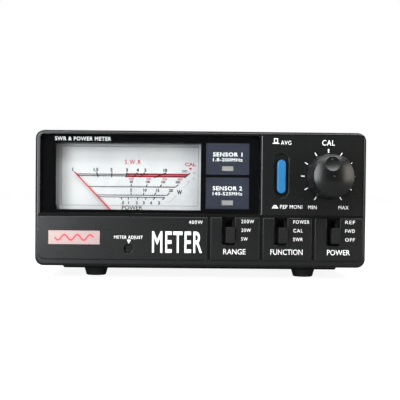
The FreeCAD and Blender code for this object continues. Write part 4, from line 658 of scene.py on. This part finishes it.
def print_badge():
    """A small generic wave in red on the plate."""
    low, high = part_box("badge_plate")
    sheet = Print(Vector(((low.x + high.x) / 2, low.y, (low.z + high.z) / 2)))
    across = [step * WAVE_STEP for step in range(-WAVE_STEPS, WAVE_STEPS + 1)]
    sheet.stroke([(x, WAVE_HEIGHT * math.sin(x * math.tau / WAVE_LENGTH)) for x in across], 0.65)
    sheet.finish("badge_wave", "red_ink")


# ---------------------------------------------------------------- meter scale

# Angles of the needle from upright, and heights over its pivot in millimetres.
ZERO_ANGLE = -43.9
FULL_ANGLE = 45.7
SWR_HIGH = {"1": -43.9, "1.5": -30.3, "2": -17.8, "3": -3.6, "4": 6.7, "5": 13.7, "10": 31.35, "inf": 45.6}
SWR_LOW = {"1": -43.9, "1.5": -31.4, "2": -19.8, "3": -5.5, "4": 2.2, "5": 9.4, "10": 23.8, "inf": 45.4}
SWR_TOP, SWR_BOTTOM = 27.1, 26.4
SWR_LABEL_SHIFTS = {"1.5": 0.2, "10": -1.0}
BAND_WIDE, BAND_GAP = 0.62, 0.02
SWR_LINE, POWER_LINE = 0.4, 0.36
FINE_TICK = 0.45
LAST_FINE_VALUE = "5"


def ray(angle, height):
    """The point on a ray from the pivot at a height above it."""
    return (height * math.tan(math.radians(angle)), height)


def power_angle(share):
    """Where the needle stands at a share of full power: its swing follows the voltage."""
    return ZERO_ANGLE + (FULL_ANGLE - ZERO_ANGLE) * math.sqrt(share)


class Scale:
    """The inks of the scale plate, and the painted shade of the meter's cover on it, drawn in millimetres
    from the needle's pivot.
    """

    def __init__(self):
        pivot = joint_place("needle_swing")
        origin = Vector((pivot.x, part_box("scale_plate")[0].y, pivot.z))
        self.black, self.red, self.pink, self.grey, self.pale = (Print(origin) for _ in range(5))

    def across(self, angles, height, width):
        """A level line between two rays."""
        self.black.stroke([ray(angle, height) for angle in angles], width)

    def tick(self, angle, start, end, width):
        """A line along a ray between two heights."""
        self.black.stroke([ray(angle, start), ray(angle, end)], width)

    def swr_rows(self):
        """The double line for the ratio, with its ticks, its numbers and the red band past 3."""
        for height, angles in ((SWR_TOP, SWR_HIGH), (SWR_BOTTOM, SWR_LOW)):
            self.across((ZERO_ANGLE, angles["inf"]), height, SWR_LINE)
        for name in SWR_HIGH:
            ends = [ray(SWR_LOW[name], SWR_BOTTOM - 0.75), ray(SWR_HIGH[name], SWR_TOP + 0.95)]
            self.black.stroke(ends, 0.52)
        values = list(SWR_HIGH)
        finer = values[:values.index(LAST_FINE_VALUE) + 1]
        upper, lower = (SWR_TOP, SWR_TOP + FINE_TICK), (SWR_BOTTOM - 0.4, SWR_BOTTOM)
        for angles, heights in ((SWR_HIGH, upper), (SWR_LOW, lower)):
            for start, end in zip(finer, finer[1:]):
                for step in range(1, 5):
                    angle = angles[start] + (angles[end] - angles[start]) * step / 5
                    self.tick(angle, *heights, 0.3)
        for name, angle in SWR_HIGH.items():
            if name != "inf":
                x = ray(angle, 29.0)[0] + SWR_LABEL_SHIFTS.get(name, 0)
                self.black.text(name, (x, 29.25), 1.45, bold=0.05)
        self.black.text("∞", (26.1, 29.0), 1.9, 2.6)
        low_band = self.band(SWR_LOW, SWR_BOTTOM - BAND_WIDE, SWR_BOTTOM)
        high_band = self.band(SWR_HIGH, SWR_TOP + BAND_GAP, SWR_TOP + BAND_WIDE)
        self.red.polygon(low_band)
        self.red.polygon(high_band)
        self.pink.polygon([low_band[3], low_band[2], high_band[1], high_band[0]])

    def band(self, angles, bottom, top):
        """The corners of the stretch from 3 on between two heights."""
        start, end = angles["3"], angles["inf"]
        return [ray(start, bottom), ray(end, bottom), ray(end, top), ray(start, top)]

    def power_row(self, height, full, labels, parts, rise, label_height, size, shift=0.0):
        """A line with a tick and a number for each label, and finer ticks that part it evenly."""
        self.across((ZERO_ANGLE, FULL_ANGLE), height, POWER_LINE)
        for label in labels:
            angle = power_angle(label / full)
            self.tick(angle, height, height + rise, 0.48)
            x = ray(angle, label_height)[0] + (shift if label == full else 0)
            self.black.text(f"{label:g}".lstrip("0"), (x, label_height), size, bold=0.04)
        for step in range(1, parts):
            angle = power_angle(step / parts)
            self.tick(angle, height, height + rise * 0.45, 0.2)

    def power_rows(self):
        """The three power scales, with red numbers for twice the highest range."""
        self.power_row(21.1, 200, (50, 100, 150, 200), 40, 1.3, 23.6, 1.05, -1.4)
        for label in (100, 200, 300, 400):
            x = ray(power_angle(label / 400), 24.6)[0] - (1.4 if label == 400 else 0)
            self.red.text(str(label), (x, 25.0), 1.1, bold=0.02)
        self.power_row(17.1, 20, (5, 10, 15, 20), 20, 1.3, 19.6, 1.4, -0.6)
        self.power_row(16.2, 5, (0.5, 1, 2, 3, 4, 5), 25, -1.2, 13.5, 1.4)

    def words(self):
        """The names of the scales, the calibration mark and the thin lines beside the unit."""
        self.red.text("S.W.R", (1.0, 33.1), 2.0, 7.7, bold=0.02, spread=1.3)
        self.red.text("CAL", (28.8, 32.2), 1.6, 5.3, bold=0.03)
        self.red.polygon([(28.0, 30.6), (28.85, 29.3), (29.7, 30.6)])
        self.red.text("H", (30.7, 28.1), 1.1)
        self.red.text("L", (30.4, 25.7), 1.1)
        self.black.text("W", (23.6, 18.75), 1.85, 2.5, bold=0.06)
        self.black.text("POWER", (0.85, 11.1), 1.95, 9.9, bold=0.01)
        self.grey.stroke([(26.6, 24.0), (28.6, 24.0), (25.2, 20.7)], 0.14)
        self.grey.stroke([(22.1, 17.2), (19.1, 14.1), (16.7, 13.9)], 0.14)

    def border(self):
        """Painted shade of the meter's cover on the scale: a pale grey band along the left and top, and a
        thin grey line where the cover's edge shows.
        """
        left, right, bottom, top = -33.2, 32.6, 12.1, 40.4
        edge_left, edge_top = left - 2.6, top + 1.3
        # Painted shade line where the edge of the cover's front shows over the scale.
        self.grey.stroke([(left, bottom), (right, bottom), (right, top), (left, top)], 0.2, closed=True)
        # Painted shade bands along the left and top of the scale, where the cover's walls fall over it.
        self.pale.polygon([(edge_left, bottom), (left, bottom), (left, top), (edge_left, edge_top)])
        self.pale.polygon([(edge_left, edge_top), (left, top), (right, top), (right, edge_top)])

    def finish(self):
        for name in ("black", "red", "pink", "grey", "pale"):
            getattr(self, name).finish(f"scale_{name}_print", f"{name}_ink")


def print_scale():
    scale = Scale()
    scale.swr_rows()
    scale.power_rows()
    scale.words()
    scale.border()
    scale.finish()


# ---------------------------------------------------------------- back

SOCKET_WORDS = {
    "socket_1_antenna": "ANT",
    "socket_1_radio": "TX",
    "socket_2_radio": "TX",
    "socket_2_antenna": "ANT",
}
# The bracket over a pair of sockets, in millimetres.
BRACKET_REACH, BRACKET_ARM, BRACKET_DROP = 12, 13, 2.2


def print_back():
    """White words under and over the sockets, as they read from behind."""
    sheet = Print(Vector((0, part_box("back_panel")[1].y, 0)), -RIGHT)
    middles = {}
    for node, word in SOCKET_WORDS.items():
        low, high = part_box(node)
        middles[node] = -(low.x + high.x) / 2 / MM
        sheet.text(word, (middles[node], low.z / MM - 3.0), 2.2, bold=0.02)
    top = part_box("socket_1_radio")[1].z / MM + 4.0
    for number in (1, 2):
        pair = [middles[f"socket_{number}_{role}"] for role in ("antenna", "radio")]
        sheet.text(f"SENSOR {number}", (sum(pair) / 2, top), 2.4, 16.0, bold=0.02)
        left, right = min(pair) - BRACKET_REACH, max(pair) + BRACKET_REACH
        for end, arm in ((left, BRACKET_ARM), (right, -BRACKET_ARM)):
            sheet.stroke([(end, top - BRACKET_DROP), (end, top), (end + arm, top)], 0.3)
    low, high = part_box("power_inlet")
    sheet.text("DC IN", (-(low.x + high.x) / 2 / MM, low.z / MM - 3.5), 1.9, bold=0.02)
    sheet.finish("back_lettering", "white_ink")


# ---------------------------------------------------------------- studio


# The floor's half width and its edge in front of the part, which the camera looks over.
FLOOR_HALF = 6.0
FLOOR_FRONT = -0.32


def floor():
    """Pale paper that glows for the camera alone, so that it shows white but doesn't light the part."""
    mesh = bpy.data.meshes.new("floor")
    corners = [(side * FLOOR_HALF, FLOOR_FRONT, 0) for side in (-1, 1)]
    corners += [(side * FLOOR_HALF, FLOOR_HALF, 0) for side in (1, -1)]
    mesh.from_pydata(corners, [], [(0, 1, 2, 3)])
    paper = Finish("floor_paper", srgb(140, 140, 140), 0.9, Emission_Color=(0.9, 0.9, 0.9, 1))
    paper.mottled(60.0, 0.01)
    seen = paper.node("LightPath")
    paper.links.new(seen.outputs["Is Camera Ray"], paper.shader.inputs["Emission Strength"])
    mesh.materials.append(paper.material)
    piece = bpy.data.objects.new("floor", mesh)
    bpy.context.scene.collection.objects.link(piece)


# Name, place, size, watts, colour, and whether it shows in glossy surfaces.
LAMPS = (
    ("left_softbox", (-0.36, -0.68, 0.14), (0.30, 0.5), 5.5, (0.93, 0.97, 1.0), True),
    ("right_softbox", (0.50, -0.58, 0.10), (0.26, 0.45), 2.2, (1.0, 0.95, 0.85), True),
    ("fill", (0.10, -0.90, 0.30), (0.8, 0.5), 1.6, (1.0, 1.0, 1.0), False),
    ("top_softbox", (0.05, -0.50, 0.46), (0.5, 0.14), 2.5, (0.97, 0.99, 1.0), True),
    ("back_left_softbox", (-0.50, 0.60, 0.95), (0.6, 0.6), 10.0, (0.97, 0.99, 1.0), True),
    ("back_right_softbox", (0.55, 0.55, 0.90), (0.6, 0.6), 7.0, (1.0, 0.97, 0.93), True),
)


def lamp(name, place, size, power, colour, shiny):
    """A soft rectangular light aimed at the middle of the front."""
    light = bpy.data.lights.new(name, "AREA")
    light.shape = "RECTANGLE"
    light.size, light.size_y = size
    light.energy = power
    light.color = colour
    carrier = bpy.data.objects.new(name, light)
    carrier.location = place
    carrier.visible_glossy = shiny
    carrier.rotation_euler = (MIDDLE - Vector(place)).to_track_quat("-Z", "Y").to_euler()
    bpy.context.scene.collection.objects.link(carrier)


def sky_light():
    """A wide overhead sun for the floor, and a surround that only the camera sees as white."""
    sun = bpy.data.lights.new("overhead", "SUN")
    sun.energy = 0.9
    sun.angle = math.radians(120)
    bpy.context.scene.collection.objects.link(bpy.data.objects.new("overhead", sun))
    world = bpy.data.worlds.new("surround")
    world.use_nodes = True
    tree = world.node_tree
    seen = tree.nodes["Background"]
    seen.inputs["Color"].default_value = (1, 1, 1, 1)
    lit = tree.nodes.new("ShaderNodeBackground")
    lit.inputs["Color"].default_value = (0.03, 0.03, 0.032, 1)
    path = tree.nodes.new("ShaderNodeLightPath")
    mix = tree.nodes.new("ShaderNodeMixShader")
    tree.links.new(path.outputs["Is Camera Ray"], mix.inputs["Fac"])
    tree.links.new(lit.outputs["Background"], mix.inputs[1])
    tree.links.new(seen.outputs["Background"], mix.inputs[2])
    tree.links.new(mix.outputs["Shader"], tree.nodes["World Output"].inputs["Surface"])
    bpy.context.scene.world = world
    bpy.context.scene.view_settings.view_transform = "Standard"


# The camera's place and aim from the middle of the front, its lens in millimetres and its roll in degrees.
CAMERA_AWAY = 0.440
CAMERA_LEFT = 0.0069
CAMERA_OVER = 0.0054
CAMERA_AIM = 0.45 * MM
CAMERA_LENS = 84.7
CAMERA_ROLL = 0.56


def camera():
    """Almost straight on, from a little left of the middle and a little above it."""
    data = bpy.data.cameras.new("camera")
    data.lens = CAMERA_LENS
    data.sensor_width = 36
    data.clip_start = 0.01
    carrier = bpy.data.objects.new("camera", data)
    bpy.context.scene.collection.objects.link(carrier)
    target = Vector((MIDDLE.x - CAMERA_AIM, FRONT_LOW.y, MIDDLE.z - CAMERA_AIM))
    place = Vector((MIDDLE.x - CAMERA_LEFT, FRONT_LOW.y - CAMERA_AWAY, MIDDLE.z + CAMERA_OVER))
    look = (target - place).to_track_quat("-Z", "Y").to_matrix()
    turned = look @ Matrix.Rotation(math.radians(CAMERA_ROLL), 3, "Z")
    carrier.location = place
    carrier.rotation_euler = turned.to_euler()
    bpy.context.scene.camera = carrier


dress_cad_nodes()
dress_recesses()
dress_socket_threads()
print_strip()
print_panel()
print_window()
print_badge()
print_scale()
print_back()
floor()
sky_light()
for settings in LAMPS:
    lamp(*settings)
camera()
